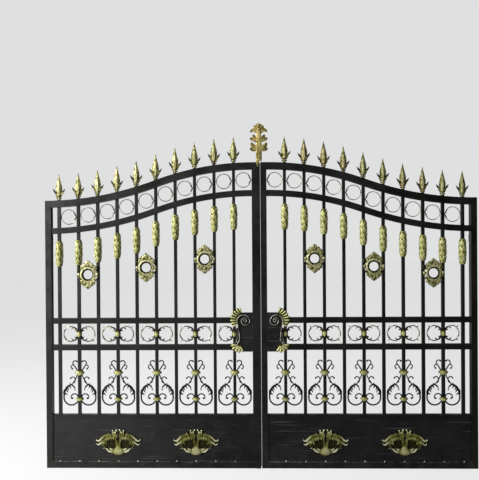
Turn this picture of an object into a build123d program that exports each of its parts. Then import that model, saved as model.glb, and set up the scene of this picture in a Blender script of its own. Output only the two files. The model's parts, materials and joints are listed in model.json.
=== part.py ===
"""Double-leaf wrought iron driveway gate with cast ornaments.

Millimetres, Z up. The front of the gate faces -Y. The origin is the centre of
the outer face of the lower left hinge plate, the face that lies on the pier.
The left leaf is modelled in full and the right leaf is its mirror image, apart
from the cover strip and the crest, which the left leaf alone carries.
"""

from math import atan2, cos, degrees, pi, radians, sin, sqrt
import os

from build123d import *

# Overall sizes of one leaf
leaf_width = 1419
hinge_side_height = 1784
meeting_side_height = 2028
ogee_turn_share = 0.53
meeting_gap = 18

# Frame tube, square, the deeper top rail and the lighter tubes between the stiles
tube = 40
top_rail_height = 46
light_tube_height = 36
light_tube_depth = 30
kick_rail_height = 26
ring_band_drop = 183

# Heights of the rails' lower edges above the bottom of the gate
kick_rail_height_above_floor = 328
lower_lock_rail_height_above_floor = 784
lock_band_height = 142

# Bars
bar = 20
bay = 110
bar_stub = 6

# Kick panel
kick_panel_thickness = 2

# Cover strip on the left leaf's meeting stile
strip_clearance = 6.5
strip_width = 30
strip_thickness = 4

# Spearheads
spear_height = 171
spear_neck_height = 26
spear_neck = 12
spear_cup_height = 14
spear_cup_width = 26
spear_blade_width = 38
spear_blade_thickness = 16
spear_blade_root = 41
spear_blade_shoulder = 87
spear_tip = 2
spear_barb_reach = 41
spear_barb_root = 33
spear_barb_rise = 40
spear_barb_width = 9
spear_barb_thickness = 8
spear_spur_reach = 24

# Barrel collars high on the bars
barrel_length = 168
barrel_width = 42
barrel_end_width = 32
barrel_ring_length = 9
barrel_drop = 50
barrel_tiers = 4
barrel_tier_swell = 3

# Rings in the top band
ring_width = 102
ring_bar = 5
tack_height = 6
claw_length = 30
claw_width = 6

# Paired scroll rings in the lock band
band_ring_height = 106
band_ring_width = 98
band_ring_bar = 6
band_collar_width = 34
band_collar_height = 44
band_sprig_length = 26

# Wreath rosettes
rosette_height = 196
rosette_ring_width = 104
rosette_opening = 66
rosette_thickness = 12
rosette_rim_width = 8
rosette_rim_rise = 4
rosette_lug_height = 22
rosette_lug_reach = 14

# Scroll castings below the lock band
scroll_stroke = 7
scroll_thickness = 8
scroll_reach = 107
scroll_foot_clearance = 56
scroll_head_clearance = 72
scroll_lower_collar_share = 0.152
scroll_upper_collar_share = 0.735
scroll_collar_width = 64
scroll_collar_length = 30
scroll_ball = 10
scroll_leaf_width = 9
collar_wall = 8
collar_edge_radius = 5

# Acanthus ornaments on the kick panel
ornament_width = 300
ornament_height = 172
ornament_thickness = 14
ornament_leaf_thickness = 9
ornament_height_above_floor = 86

# Lock casting
lock_plate_width = 98
lock_plate_foot = 10
lock_plate_head = 36
lock_plate_thickness = 5
lock_plate_shoulder = 40
lock_plate_notch = 24
lock_casting_thickness = 10
lock_scroll_inset = 52
lock_scroll_drop = 49
lock_scroll_stroke = 7
lock_spiral_radius = 44
lock_shell_ribs = 8
lock_shell_reach = 98
lock_shell_root = 34
lock_foot_ribs = 5
lock_foot_reach = 62
lock_rib_width = 17

# Crest over the meeting stile
crest_width = 128
crest_height = 258
crest_thickness = 8
crest_stem_width = 39
crest_foot_length = 33
crest_clearance = 6

# Hinges, behind the hinge stile
pin_radius = 7
pin_clearance = 0.3
eye_radius = 13
eye_length = 34
hinge_offset = 20
bracket_arm_height = 14
pin_standing = 4
plate_thickness = 6
plate_depth = 74
plate_height = 120
plate_setback = 6
plate_hole_radius = 5.5
plate_hole_spacing_y = 44
plate_hole_spacing_z = 84
lower_hinge_height = 250
upper_hinge_height = 1500

# Places that follow from the sizes
leaf_x = plate_thickness
centre_x = leaf_x + leaf_width + meeting_gap / 2
front_y = -(tube + plate_setback + plate_depth / 2)
floor_z = -lower_hinge_height
bar_front = (tube - bar) / 2
light_front = (tube - light_tube_depth) / 2
clear_width = leaf_width - 2 * tube
upper_lock_rail_height_above_floor = (
    lower_lock_rail_height_above_floor + light_tube_height + lock_band_height)
band_z = upper_lock_rail_height_above_floor - lock_band_height / 2
scroll_bottom = kick_rail_height_above_floor + kick_rail_height + scroll_foot_clearance
scroll_height = lower_lock_rail_height_above_floor - scroll_head_clearance - scroll_bottom

# Bars are spaced from the meeting stile, as many as the leaf has room for
bar_pitch = bar + bay
bar_count = int((clear_width - bar_pitch) // bar_pitch) + 1
last_bar_x = leaf_width - tube - bay - bar / 2
bar_xs = [last_bar_x - bar_pitch * (bar_count - 1 - i) for i in range(bar_count)]
bay_xs = [x + bar_pitch / 2 for x in bar_xs]
scroll_bar_xs = [x for x in bar_xs[::-2] if x - scroll_reach - scroll_stroke > tube]
ornament_xs = bar_xs[-3::-4]
rosette_xs = bay_xs[-3::-3]

# The ogee of the top rail: two arcs of equal turn, hollow then crowned
ogee_run = leaf_width - tube
ogee_rise = meeting_side_height - hinge_side_height
ogee_turn = degrees(2 * atan2(ogee_rise, ogee_run))
ogee_radii_sum = (ogee_run**2 + ogee_rise**2) / (2 * ogee_rise)
hollow_radius = ogee_radii_sum * ogee_turn_share
crown_radius = ogee_radii_sum - hollow_radius

front = Plane(origin=(leaf_x, front_y, floor_z), x_dir=(1, 0, 0), z_dir=(0, -1, 0))
plan = Plane(origin=(leaf_x, front_y + tube / 2, floor_z))
face = Plane.XZ


def spot(x, height, depth=0):
    """Returns the place at x and height, `depth` behind the front of the leaf."""
    return (leaf_x + x, front_y + depth, floor_z + height)


def top_height(x):
    """Returns the height of the top rail's upper edge at x from the hinge side."""
    if x <= ogee_run * ogee_turn_share:
        return hinge_side_height + hollow_radius - sqrt(hollow_radius**2 - x**2)
    return meeting_side_height - crown_radius + sqrt(crown_radius**2 - (ogee_run - x) ** 2)


def ring_rail_underside(x):
    """Returns the height of the ring rail's lower edge at x."""
    return top_height(x) - ring_band_drop - tube


def ogee(drop, thickness):
    """Draws a closed ogee band whose upper edge lies `drop` below the top edge."""
    low = (0, hinge_side_height - drop)
    upper = JernArc(low, (1, 0), hollow_radius, ogee_turn)
    upper_end = JernArc(upper @ 1, upper % 1, crown_radius, -ogee_turn)
    lower = JernArc((0, low[1] - thickness), (1, 0), hollow_radius + thickness, ogee_turn)
    lower_end = JernArc(lower @ 1, lower % 1, crown_radius - thickness, -ogee_turn)
    Line(upper @ 0, lower @ 0)
    Line(upper_end @ 1, lower_end @ 1)


def cut_bar_holes():
    """Cuts the square holes through which the bars pass."""
    with BuildSketch(plan) as holes:
        with Locations(*[(x, 0) for x in bar_xs]):
            Rectangle(bar, bar)
    extrude(holes.sketch, amount=meeting_side_height, mode=Mode.SUBTRACT)


def leaf(base, tip, width, bend=0):
    """Adds a leaf with two arcs for edges to a sketch; `bend` curves it to its left."""
    with BuildLine() as rim:
        SagittaArc(base, tip, bend + width / 2)
        SagittaArc(tip, base, width / 2 - bend)
    make_face(rim.edges())


def stroke(width, across, up, *arcs):
    """Adds rounded strokes to a sketch, each an arc of three points in shares of two sizes."""
    for arc in arcs:
        start, middle, end = [(u * across, v * up) for u, v in arc]
        with BuildLine() as path:
            ThreePointArc(start, middle, end)
        trace(path.line, line_width=width)
        with Locations(start, end):
            Circle(width / 2)


def diamond(width, thickness):
    """Adds a four-cornered section with a ridge front and back to a sketch."""
    with BuildLine() as rim:
        Polyline((width / 2, 0), (0, thickness / 2), (-width / 2, 0), (0, -thickness / 2),
                 close=True)
    make_face(rim.edges())


# Hinge stile, under the end of the top rail
with BuildPart() as hinge_stile:
    with BuildSketch(front):
        Rectangle(tube, hinge_side_height - top_rail_height, align=(Align.MIN, Align.MIN))
    extrude(amount=-tube)
    with BuildSketch(front):
        with BuildLine():
            ogee(0, top_rail_height)
        make_face()
    extrude(amount=-tube, mode=Mode.SUBTRACT)

# Meeting stile, the full height of the leaf
with BuildPart() as meeting_stile:
    with BuildSketch(front):
        with Locations((leaf_width - tube, 0)):
            Rectangle(tube, meeting_side_height, align=(Align.MIN, Align.MIN))
    extrude(amount=-tube)

# Top rail, an ogee from the outer edge to the meeting stile
with BuildPart() as top_rail:
    with BuildSketch(front):
        with BuildLine():
            ogee(0, top_rail_height)
        make_face()
    extrude(amount=-tube)
    cut_bar_holes()

# Ring rail, parallel to the top rail and between the stiles
with BuildPart() as ring_rail:
    with BuildSketch(front.offset(-light_front)):
        with BuildLine():
            ogee(ring_band_drop, tube)
        make_face()
        Rectangle(tube, meeting_side_height, align=(Align.MIN, Align.MIN), mode=Mode.SUBTRACT)
    extrude(amount=-light_tube_depth)
    cut_bar_holes()

# Lock rails, below and above the lock band
with BuildPart() as lock_rails:
    with BuildSketch(front.offset(-light_front)):
        with Locations((tube, lower_lock_rail_height_above_floor),
                       (tube, upper_lock_rail_height_above_floor)):
            Rectangle(clear_width, light_tube_height, align=(Align.MIN, Align.MIN))
    extrude(amount=-light_tube_depth)
    cut_bar_holes()

# Kick rail and bottom rail, above and below the kick panel
with BuildPart() as kick_rail:
    with BuildSketch(front.offset(-light_front)):
        with Locations((tube, kick_rail_height_above_floor)):
            Rectangle(clear_width, kick_rail_height, align=(Align.MIN, Align.MIN))
    extrude(amount=-light_tube_depth)
    cut_bar_holes()

with BuildPart() as bottom_rail:
    with BuildSketch(front):
        with Locations((tube, 0)):
            Rectangle(clear_width, tube, align=(Align.MIN, Align.MIN))
    extrude(amount=-tube)

# Kick panel, on the front of the bars between the two rails
with BuildPart() as kick_panel:
    with BuildSketch(front.offset(kick_panel_thickness - bar_front)):
        with Locations((tube, tube)):
            Rectangle(clear_width, kick_rail_height_above_floor - tube,
                      align=(Align.MIN, Align.MIN))
    extrude(amount=-kick_panel_thickness)

# Bars, from the bottom rail up through every rail to a short stub
with BuildPart() as bars:
    for x in bar_xs:
        with BuildSketch(front.offset(-bar_front)):
            with Locations((x, tube)):
                Rectangle(bar, top_height(x) + bar_stub - tube, align=(Align.CENTER, Align.MIN))
        extrude(amount=-bar)

# Spearhead: a ridged blade on a turned cup and a square neck, two barbs each side
with BuildPart() as spearhead:
    with BuildSketch():
        Rectangle(spear_neck, spear_neck)
    extrude(amount=spear_blade_root)
    cup_base = spear_neck_height
    with BuildSketch(face):
        with BuildLine():
            ThreePointArc((spear_neck / 2, cup_base),
                          (spear_cup_width / 2, cup_base + spear_cup_height * 0.6),
                          (spear_neck / 2, cup_base + spear_cup_height))
            Polyline((spear_neck / 2, cup_base + spear_cup_height),
                     (0, cup_base + spear_cup_height), (0, cup_base), (spear_neck / 2, cup_base))
        make_face()
    revolve(axis=Axis.Z)
    with BuildSketch(Plane.XY.offset(cup_base + spear_cup_height / 2)) as root:
        diamond(spear_neck, spear_neck)
    with BuildSketch(Plane.XY.offset(spear_blade_shoulder)) as shoulder:
        diamond(spear_blade_width, spear_blade_thickness)
    with BuildSketch(Plane.XY.offset(spear_height)) as point:
        diamond(spear_tip, spear_tip)
    loft(sections=[root.sketch, shoulder.sketch, point.sketch], ruled=True)
    with BuildSketch(face.offset(spear_barb_thickness / 2)):
        leaf((spear_neck / 4, spear_barb_root),
             (spear_barb_reach, spear_barb_root + spear_barb_rise), spear_barb_width, -3)
        leaf((spear_neck / 4, cup_base), (spear_spur_reach, cup_base + spear_cup_height / 2),
             spear_barb_width, -2)
        mirror(about=Plane.YZ)
    extrude(amount=-spear_barb_thickness)

with BuildPart() as spearheads:
    with Locations(*[spot(x, top_height(x) + bar_stub, tube / 2) for x in bar_xs]):
        add(spearhead.part)

# Barrel collars, threaded on the bars below the ring rail
barrel_body = barrel_length - 2 * barrel_ring_length
tier_length = barrel_body / barrel_tiers
tier_radii = [
    (barrel_end_width + (barrel_width - barrel_end_width) * sin(pi * i / barrel_tiers)) / 2
    for i in range(barrel_tiers + 1)
]
with BuildPart() as barrel:
    with BuildSketch(face):
        with BuildLine():
            for i in range(barrel_tiers):
                low_r, high_r = tier_radii[i], tier_radii[i + 1]
                low_z = i * tier_length - barrel_body / 2
                ThreePointArc((low_r, low_z),
                              ((low_r + high_r) / 2 + barrel_tier_swell, low_z + tier_length / 2),
                              (high_r, low_z + tier_length))
            end_r = barrel_end_width / 2
            ring_r = end_r + barrel_tier_swell / 2
            Polyline((end_r, barrel_body / 2), (ring_r, barrel_body / 2),
                     (ring_r, barrel_length / 2), (0, barrel_length / 2),
                     (0, -barrel_length / 2), (ring_r, -barrel_length / 2),
                     (ring_r, -barrel_body / 2), (end_r, -barrel_body / 2))
        make_face()
    revolve(axis=Axis.Z)
    with BuildSketch(Plane.XY.offset(-barrel_length / 2)):
        Rectangle(bar, bar)
    extrude(amount=barrel_length, mode=Mode.SUBTRACT)

with BuildPart() as bar_collars:
    with Locations(*[
        spot(x, ring_rail_underside(x) - barrel_drop - barrel_length / 2, tube / 2)
        for x in bar_xs
    ]):
        add(barrel.part)

# Rings in the top band, tacked to the bars on both sides, two claws in each
ring_r = (ring_width - ring_bar) / 2
with BuildPart() as top_ring:
    with BuildSketch(face.offset(ring_bar / 2)):
        Rectangle(bay, tack_height)
        Circle(ring_width / 2)
        Circle(ring_width / 2 - ring_bar, mode=Mode.SUBTRACT)
        leaf((ring_r, tack_height), (ring_r - claw_length / 2, claw_length), claw_width, 2)
        leaf((ring_r, -tack_height), (ring_r - claw_length / 2, -claw_length), claw_width, -2)
    extrude(amount=-ring_bar)

with BuildPart() as top_rings:
    with Locations(*[
        spot(x, top_height(x) - (ring_band_drop + top_rail_height) / 2, tube / 2) for x in bay_xs
    ]):
        add(top_ring.part)

# Wreath rosettes between bars, with a lug on the front of the bar each side
with BuildPart() as rosette:
    half_height = rosette_height / 2
    rosette_ring_r = rosette_ring_width / 2
    with BuildSketch(face):
        leaf((rosette_ring_r * 0.2, rosette_ring_r * 0.5),
             (rosette_ring_r * 0.7, half_height * 0.8), rosette_ring_r * 0.5)
        leaf((rosette_ring_r * 0.5, rosette_ring_r * 0.3),
             (rosette_ring_r, half_height * 0.6), rosette_ring_r * 0.5)
        leaf((0, 0), (0, half_height), rosette_ring_r)
        mirror(about=Plane.YZ)
        mirror(about=Plane.XZ)
        Circle(rosette_ring_r)
        Rectangle(bay + 2 * rosette_lug_reach, rosette_lug_height)
        Circle(rosette_opening / 2, mode=Mode.SUBTRACT)
    extrude(amount=rosette_thickness)
    with BuildSketch(face.offset(rosette_thickness)):
        Circle(rosette_opening / 2 + rosette_rim_width)
        Circle(rosette_opening / 2, mode=Mode.SUBTRACT)
    extrude(amount=rosette_rim_rise)

with BuildPart() as rosettes:
    with Locations(*[
        spot(x, (upper_lock_rail_height_above_floor + light_tube_height
                 + ring_rail_underside(x)) / 2, bar_front) for x in rosette_xs
    ]):
        add(rosette.part)

# Gold collars that clasp the scrolls to one bar, measured from the scrolls' foot
collar_depth = bar + 2 * collar_wall
with BuildPart() as clasps:
    with BuildSketch(face.offset(collar_depth / 2)):
        with Locations((0, scroll_height * scroll_lower_collar_share),
                       (0, scroll_height * scroll_upper_collar_share)):
            Ellipse(scroll_collar_width / 2, scroll_collar_length / 2)
        with Locations((0, band_z - scroll_bottom)):
            Ellipse(band_collar_width / 2, band_collar_height / 2)
    extrude(amount=-collar_depth)
    fillet(clasps.edges().filter_by(GeomType.ELLIPSE), radius=collar_edge_radius)
    with BuildSketch():
        Rectangle(bar, bar)
    extrude(amount=band_z, mode=Mode.SUBTRACT)

with BuildPart() as scroll_collars:
    with Locations(*[spot(x, scroll_bottom, tube / 2) for x in scroll_bar_xs]):
        add(clasps.part)

# Paired scroll rings in the lock band, thickened where the collar clasps them
band_ring_a = band_ring_width / 2
band_ring_b = band_ring_height / 2
band_ring_x = bar / 2 + band_ring_a
band_collar_z = band_z - scroll_bottom
with BuildPart() as band_pair:
    with BuildSketch(face.offset(band_ring_bar / 2)) as band_outline:
        with Locations((band_ring_x, band_collar_z)):
            Ellipse(band_ring_a, band_ring_b)
            Ellipse(band_ring_a - band_ring_bar, band_ring_b - band_ring_bar, mode=Mode.SUBTRACT)
        for side in (-1, 1):
            leaf((bar / 2 + 2, band_collar_z + side * band_ring_b * 0.25),
                 (band_ring_x - band_ring_a * 0.35, band_collar_z + side * band_ring_b * 0.92),
                 band_ring_bar * 1.6, side * band_ring_bar)
            leaf((band_ring_x + band_ring_a * 0.93, band_collar_z + side * band_ring_b * 0.2),
                 (band_ring_x + band_ring_a * 0.93 - band_sprig_length * 0.8,
                  band_collar_z + side * (band_ring_b * 0.2 + band_sprig_length)),
                 band_ring_bar, -side * band_ring_bar / 3)
        mirror(about=Plane.YZ)
    extrude(amount=-band_ring_bar)
    add(clasps.part, mode=Mode.SUBTRACT)

with BuildPart() as band_scrolls:
    with Locations(*[spot(x, scroll_bottom, tube / 2) for x in scroll_bar_xs]):
        add(band_pair.part)

# Scroll castings: a lobe, a stem, curls and pointed leaves each side of the bar
curl_ends = ((0.477, 0.169), (0.178, 1), (0.458, 0.828), (0.523, 0.632))
with BuildPart() as scroll_casting:
    with BuildSketch(face.offset(scroll_thickness / 2)):
        stroke(
            scroll_stroke, scroll_reach, scroll_height,
            ((0.131, 0.119), (0.56, 0.013), (1, 0.205)),
            ((1, 0.205), (0.9, 0.351), (0.505, 0.477)),
            ((0.505, 0.477), (0.318, 0.583), (0.131, scroll_upper_collar_share)),
            ((0.131, scroll_lower_collar_share + 0.02), (0.346, 0.268), (0.57, 0.199)),
            ((0.57, 0.199), (0.533, 0.169), (0.477, 0.166)),
            ((0.131, scroll_upper_collar_share + 0.027), (0.224, 0.848), (0.355, 0.901)),
            ((0.355, 0.901), (0.383, 0.983), (0.178, 1)),
            ((0.355, 0.901), (0.523, 0.887), (0.458, 0.828)),
            ((0.327, 0.563), (0.383, 0.613), (0.523, 0.632)),
        )
        with Locations(*[(u * scroll_reach, v * scroll_height) for u, v in curl_ends]):
            Circle(scroll_ball / 2)
        leaf((scroll_reach * 0.56, scroll_height * 0.48),
             (scroll_reach * 0.3, scroll_height * 0.364), scroll_leaf_width, -2)
        leaf((scroll_reach * 0.963, scroll_height * 0.325),
             (scroll_reach * 0.776, scroll_height * 0.245), scroll_leaf_width, -2)
        mirror(about=Plane.YZ)
        Rectangle(bar, scroll_height * 3, mode=Mode.SUBTRACT)
    extrude(amount=-scroll_thickness)
    add(clasps.part, mode=Mode.SUBTRACT)

with BuildPart() as scroll_castings:
    with Locations(*[spot(x, scroll_bottom, tube / 2) for x in scroll_bar_xs]):
        add(scroll_casting.part)

# Acanthus ornament on the kick panel: loops, tendrils and tips, then the raised stems
reach = ornament_width / 2
rise = ornament_height
with BuildPart() as ornament:
    with BuildSketch(face):
        with Locations((reach * 0.39, rise * 0.48)):
            Ellipse(reach * 0.31, rise * 0.27)
        with Locations((reach * 0.39, rise * 0.39)):
            Ellipse(reach * 0.22, rise * 0.13, mode=Mode.SUBTRACT)
        leaf((reach * 0.45, rise * 0.74), (reach, rise * 0.6), 9, -22)
        leaf((reach * 0.58, rise * 0.62), (reach * 0.95, rise * 0.42), 9, -16)
        leaf((reach * 0.1, rise * 0.22), (reach * 0.57, rise * 0.22), 9, -15)
        leaf((reach * 0.2, rise * 0.2), (reach * 0.42, rise * 0.27), 8, -3)
        leaf((reach * 0.24, rise * 0.6), (reach * 0.41, rise * 0.85), 12, 2)
        leaf((reach * 0.14, rise * 0.6), (reach * 0.24, rise * 0.96), 12, 2)
        leaf((reach * 0.15, rise * 0.72), (reach * 0.08, rise), 12, -1)
        mirror(about=Plane.YZ)
    extrude(amount=ornament_leaf_thickness)
    with BuildSketch(face):
        leaf((reach * 0.07, rise * 0.2), (reach * 0.14, rise * 0.86), 14, -5)
        mirror(about=Plane.YZ)
        with Locations((0, rise * 0.16)):
            Ellipse(reach * 0.23, rise * 0.16)
        leaf((0, rise * 0.1), (0, rise * 0.45), reach * 0.26)
    extrude(amount=ornament_thickness)

with BuildPart() as kick_ornaments:
    with Locations(*[
        spot(x, ornament_height_above_floor, bar_front - kick_panel_thickness)
        for x in ornament_xs
    ]):
        add(ornament.part)

# Lock casting: a plate over both lock rails, its scroll and shells on the front
lock_bottom = lower_lock_rail_height_above_floor - lock_plate_foot
lock_top = upper_lock_rail_height_above_floor + light_tube_height + lock_plate_head
with BuildPart() as lock_plate:
    with BuildSketch(front) as plate_outline:
        with Locations((leaf_width - tube, lock_bottom)):
            Rectangle(lock_plate_width, lock_top - lock_bottom, align=(Align.MAX, Align.MIN))
        outer_corners = plate_outline.vertices().group_by(Axis.X)[0].sort_by(Axis.Y)
        fillet(outer_corners[1], radius=lock_plate_shoulder)
        with Locations((leaf_width - tube - lock_plate_width, lock_bottom)):
            Circle(lock_plate_notch, mode=Mode.SUBTRACT)
    extrude(amount=-lock_plate_thickness)

lock_face = Plane(origin=spot(leaf_width - tube - lock_scroll_inset, lock_top - lock_scroll_drop),
                  x_dir=(1, 0, 0), z_dir=(0, -1, 0))
lock_fall = lock_top - lock_scroll_drop - lock_bottom
foot_x, foot_z = -lock_spiral_radius * 0.73, -lock_fall * 0.777
with BuildPart() as lock_ornaments:
    with BuildSketch(lock_face):
        stroke(
            lock_scroll_stroke, lock_spiral_radius, lock_spiral_radius,
            ((-1, -0.23), (-0.2, 0.77), (0.75, 0.02)),
            ((0.75, 0.02), (0.11, -0.77), (-0.5, -0.14)),
            ((-0.5, -0.14), (-0.07, 0.32), (0.32, -0.07)),
            ((0.32, -0.07), (0.09, -0.32), (-0.11, -0.05)),
        )
        stroke(
            lock_scroll_stroke, lock_spiral_radius, lock_fall,
            ((-1, -0.047), (-0.95, -0.237), (-0.77, -0.408)),
            ((-0.77, -0.408), (-0.86, -0.687), (-1.7, -0.815)),
        )
        for i in range(lock_shell_ribs):
            lean = radians(115 + i * 92 / (lock_shell_ribs - 1))
            leaf((lock_shell_root * cos(lean), lock_shell_root * sin(lean)),
                 (lock_shell_reach * cos(lean), lock_shell_reach * sin(lean)), lock_rib_width)
        for i in range(lock_foot_ribs):
            lean = radians(195 + i * 100 / (lock_foot_ribs - 1))
            leaf((foot_x, foot_z),
                 (foot_x + lock_foot_reach * cos(lean), foot_z + lock_foot_reach * sin(lean)),
                 lock_rib_width)
    extrude(amount=lock_casting_thickness)

# Hinge eyes on the back of the hinge stile
hinge_x = tube / 2
hinge_y = tube / 2 + hinge_offset
hinge_heights = (lower_hinge_height, upper_hinge_height)
with BuildPart() as hinge_eyes:
    for height in hinge_heights:
        with BuildSketch(plan.offset(height + bracket_arm_height / 2 + pin_clearance)):
            with Locations((hinge_x, hinge_y)):
                Circle(eye_radius)
            with Locations((hinge_x, tube / 2)):
                Rectangle(eye_radius * 1.5, hinge_offset, align=(Align.CENTER, Align.MIN))
            with Locations((hinge_x, hinge_y)):
                Circle(pin_radius + pin_clearance, mode=Mode.SUBTRACT)
        extrude(amount=eye_length)

# Hinge brackets on the pier: a bolted plate, an arm and the pin standing on it
pier_face = Plane(origin=(0, 0, 0), x_dir=(0, 1, 0), z_dir=(1, 0, 0))
with BuildPart() as hinge_brackets:
    for height in hinge_heights:
        with BuildSketch(pier_face):
            with Locations((0, height - lower_hinge_height)):
                Rectangle(plate_depth, plate_height)
                with GridLocations(plate_hole_spacing_y, plate_hole_spacing_z, 2, 2):
                    Circle(plate_hole_radius, mode=Mode.SUBTRACT)
        extrude(amount=plate_thickness)
        with BuildSketch(plan.offset(height - bracket_arm_height / 2)):
            with Locations((hinge_x, hinge_y)):
                Circle(eye_radius)
                Rectangle(hinge_x, 2 * eye_radius, align=(Align.MAX, Align.CENTER))
        extrude(amount=bracket_arm_height)
        with BuildSketch(plan.offset(height)):
            with Locations((hinge_x, hinge_y)):
                Circle(pin_radius)
        extrude(amount=bracket_arm_height / 2 + eye_length + pin_standing)

# Cover strip over the gap between the leaves, on the left leaf only
strip_right = leaf_width + meeting_gap - strip_clearance
with BuildPart() as cover_strip:
    with BuildSketch(front):
        with Locations((strip_right, 0)):
            Rectangle(strip_width, meeting_side_height, align=(Align.MAX, Align.MIN))
    extrude(amount=strip_thickness)

# Crest: a flat plume over both stiles, held by a pointed foot on the cover strip alone
crest_face = Plane(origin=spot(leaf_width + meeting_gap / 2, meeting_side_height, -strip_thickness),
                   x_dir=(1, 0, 0), z_dir=(0, -1, 0))
spread = crest_width / 2
top = crest_height
with BuildPart() as crest:
    with BuildSketch(crest_face):
        leaf((0, top * 0.27), (spread * 0.98, top * 0.35), spread * 0.42, -2)
        leaf((spread * 0.15, top * 0.32), (spread * 0.8, top * 0.48), spread * 0.36, 2)
        leaf((0, top * 0.46), (spread * 0.93, top * 0.585), spread * 0.32, -2)
        leaf((spread * 0.1, top * 0.52), (spread * 0.64, top * 0.66), spread * 0.28, 2)
        leaf((spread * 0.1, top * 0.68), (spread * 0.87, top * 0.765), spread * 0.25, 14)
        leaf((0, top * 0.78), (spread * 0.56, top * 0.915), spread * 0.32, -2)
        leaf((0, top * 0.12), (0, top * 0.98), spread * 0.72)
        mirror(about=Plane.YZ)
        leaf((0, top * 0.72), (-spread * 0.06, top), spread * 0.5)
        with Locations((0, crest_clearance)):
            Rectangle(crest_stem_width, top * 0.6, align=(Align.CENTER, Align.MIN))
    extrude(amount=crest_thickness)

foot_left = -crest_stem_width / 2
foot_right = meeting_gap / 2 - strip_clearance
with BuildPart() as crest_foot:
    with BuildSketch(crest_face):
        with BuildLine():
            Polyline((foot_left, crest_clearance), (foot_left, 0),
                     ((foot_left + foot_right) / 2, -crest_foot_length), (foot_right, 0),
                     (foot_right, crest_clearance), close=True)
        make_face()
    extrude(amount=crest_thickness)

os.makedirs("parts", exist_ok=True)


def export(name, part):
    """Labels a finished piece and writes it."""
    part.label = name
    export_step(part, f"parts/{name}.step")


leaf_pieces = {
    "hinge_stile": hinge_stile,
    "meeting_stile": meeting_stile,
    "top_rail": top_rail,
    "ring_rail": ring_rail,
    "lock_rails": lock_rails,
    "kick_rail": kick_rail,
    "bottom_rail": bottom_rail,
    "kick_panel": kick_panel,
    "bars": bars,
    "spearheads": spearheads,
    "bar_collars": bar_collars,
    "top_rings": top_rings,
    "band_scrolls": band_scrolls,
    "rosettes": rosettes,
    "scroll_castings": scroll_castings,
    "scroll_collars": scroll_collars,
    "kick_ornaments": kick_ornaments,
    "lock_plate": lock_plate,
    "lock_ornaments": lock_ornaments,
    "hinge_eyes": hinge_eyes,
    "hinge_brackets": hinge_brackets,
}
for name, piece in leaf_pieces.items():
    export("left_" + name, piece.part)
    with BuildPart() as opposite:
        mirror(piece.part, about=Plane.YZ.offset(centre_x))
    export("right_" + name, opposite.part)

export("cover_strip", cover_strip.part)
export("crest", crest.part)
export("crest_foot", crest_foot.part)
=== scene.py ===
"""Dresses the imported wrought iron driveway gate: castings, welds, bolts, paint and gilding."""
import json
import logging
import math
from dataclasses import dataclass
from enum import Enum
from typing import Callable, ClassVar, Sequence

import bmesh
import bpy
from mathutils import Matrix, Vector

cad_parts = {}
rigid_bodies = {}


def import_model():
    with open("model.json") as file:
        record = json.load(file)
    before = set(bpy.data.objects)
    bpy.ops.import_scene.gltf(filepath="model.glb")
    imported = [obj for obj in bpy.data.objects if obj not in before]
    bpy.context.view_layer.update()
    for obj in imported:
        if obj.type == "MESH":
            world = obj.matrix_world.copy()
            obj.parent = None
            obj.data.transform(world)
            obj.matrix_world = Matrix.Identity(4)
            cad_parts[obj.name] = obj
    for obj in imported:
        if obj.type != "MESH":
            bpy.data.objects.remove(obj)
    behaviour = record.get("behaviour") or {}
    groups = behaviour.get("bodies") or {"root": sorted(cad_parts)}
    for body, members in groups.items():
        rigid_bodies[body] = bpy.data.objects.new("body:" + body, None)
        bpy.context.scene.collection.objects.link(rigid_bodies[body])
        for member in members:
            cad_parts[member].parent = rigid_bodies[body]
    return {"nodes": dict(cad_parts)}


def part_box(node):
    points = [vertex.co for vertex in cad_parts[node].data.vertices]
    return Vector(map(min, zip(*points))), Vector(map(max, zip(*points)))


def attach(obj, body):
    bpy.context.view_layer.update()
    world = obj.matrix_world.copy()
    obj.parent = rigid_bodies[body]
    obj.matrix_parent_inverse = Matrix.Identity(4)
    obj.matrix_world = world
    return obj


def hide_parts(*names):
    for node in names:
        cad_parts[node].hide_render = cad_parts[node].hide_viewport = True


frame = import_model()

MM = 0.001
# Height of the ground under the origin, in metres
FLOOR = -0.25
# Share of its chord from which a bow is laid as a true circle
DEEP_BOW = 0.2
# Points nearer than this, in millimetres, are one
DOUBLES = 0.02
log = logging.getLogger("gate")

Point = tuple[float, float, float]
Flat = tuple[float, float]
Span = tuple[float, float]
Colour = tuple[float, float, float]
Piece = bpy.types.Object
Socket = bpy.types.NodeSocket


class Outline(Enum):
    """How the width of a swept member runs from its base to its tip."""

    LEAF = "leaf"
    HORN = "horn"
    ROD = "rod"
    RIB = "rib"
    LOBE = "lobe"

    def width(self, t: float) -> float:
        """Gives the share of the full width at a place along the member.

        Args:
            t: The place, 0 at the base and 1 at the tip.

        Returns:
            The share of the full width there.
        """
        if self is Outline.LEAF:
            return max(0.04, math.sin(math.pi * (0.08 + 0.92 * t) ** 0.8))
        if self is Outline.HORN:
            return max(0.06, (1 - t) ** 0.55)
        if self is Outline.RIB:
            fall = max(0.0, t - 0.75) / 0.25
            return max(0.05, (0.4 + 0.6 * t) * math.sqrt(max(0.0, 1 - fall * fall)))
        if self is Outline.LOBE:
            fall = max(0.0, t - 0.55) / 0.45
            swell = 0.62 + 0.38 * math.sin(2.6 * t)
            return max(0.05, swell * math.sqrt(max(0.0, 1 - fall ** 2.4)))
        return 0.72 if t in (0.0, 1.0) else 1.0


class Side(Enum):
    """The two leaves of the gate."""

    LEFT = "left"
    RIGHT = "right"

    @property
    def body(self) -> str:
        """Names the body that the leaf's pieces ride on."""
        return f"{self.value}_leaf"

    def node(self, name: str) -> str:
        """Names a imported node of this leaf."""
        return f"{self.value}_{name}"


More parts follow.
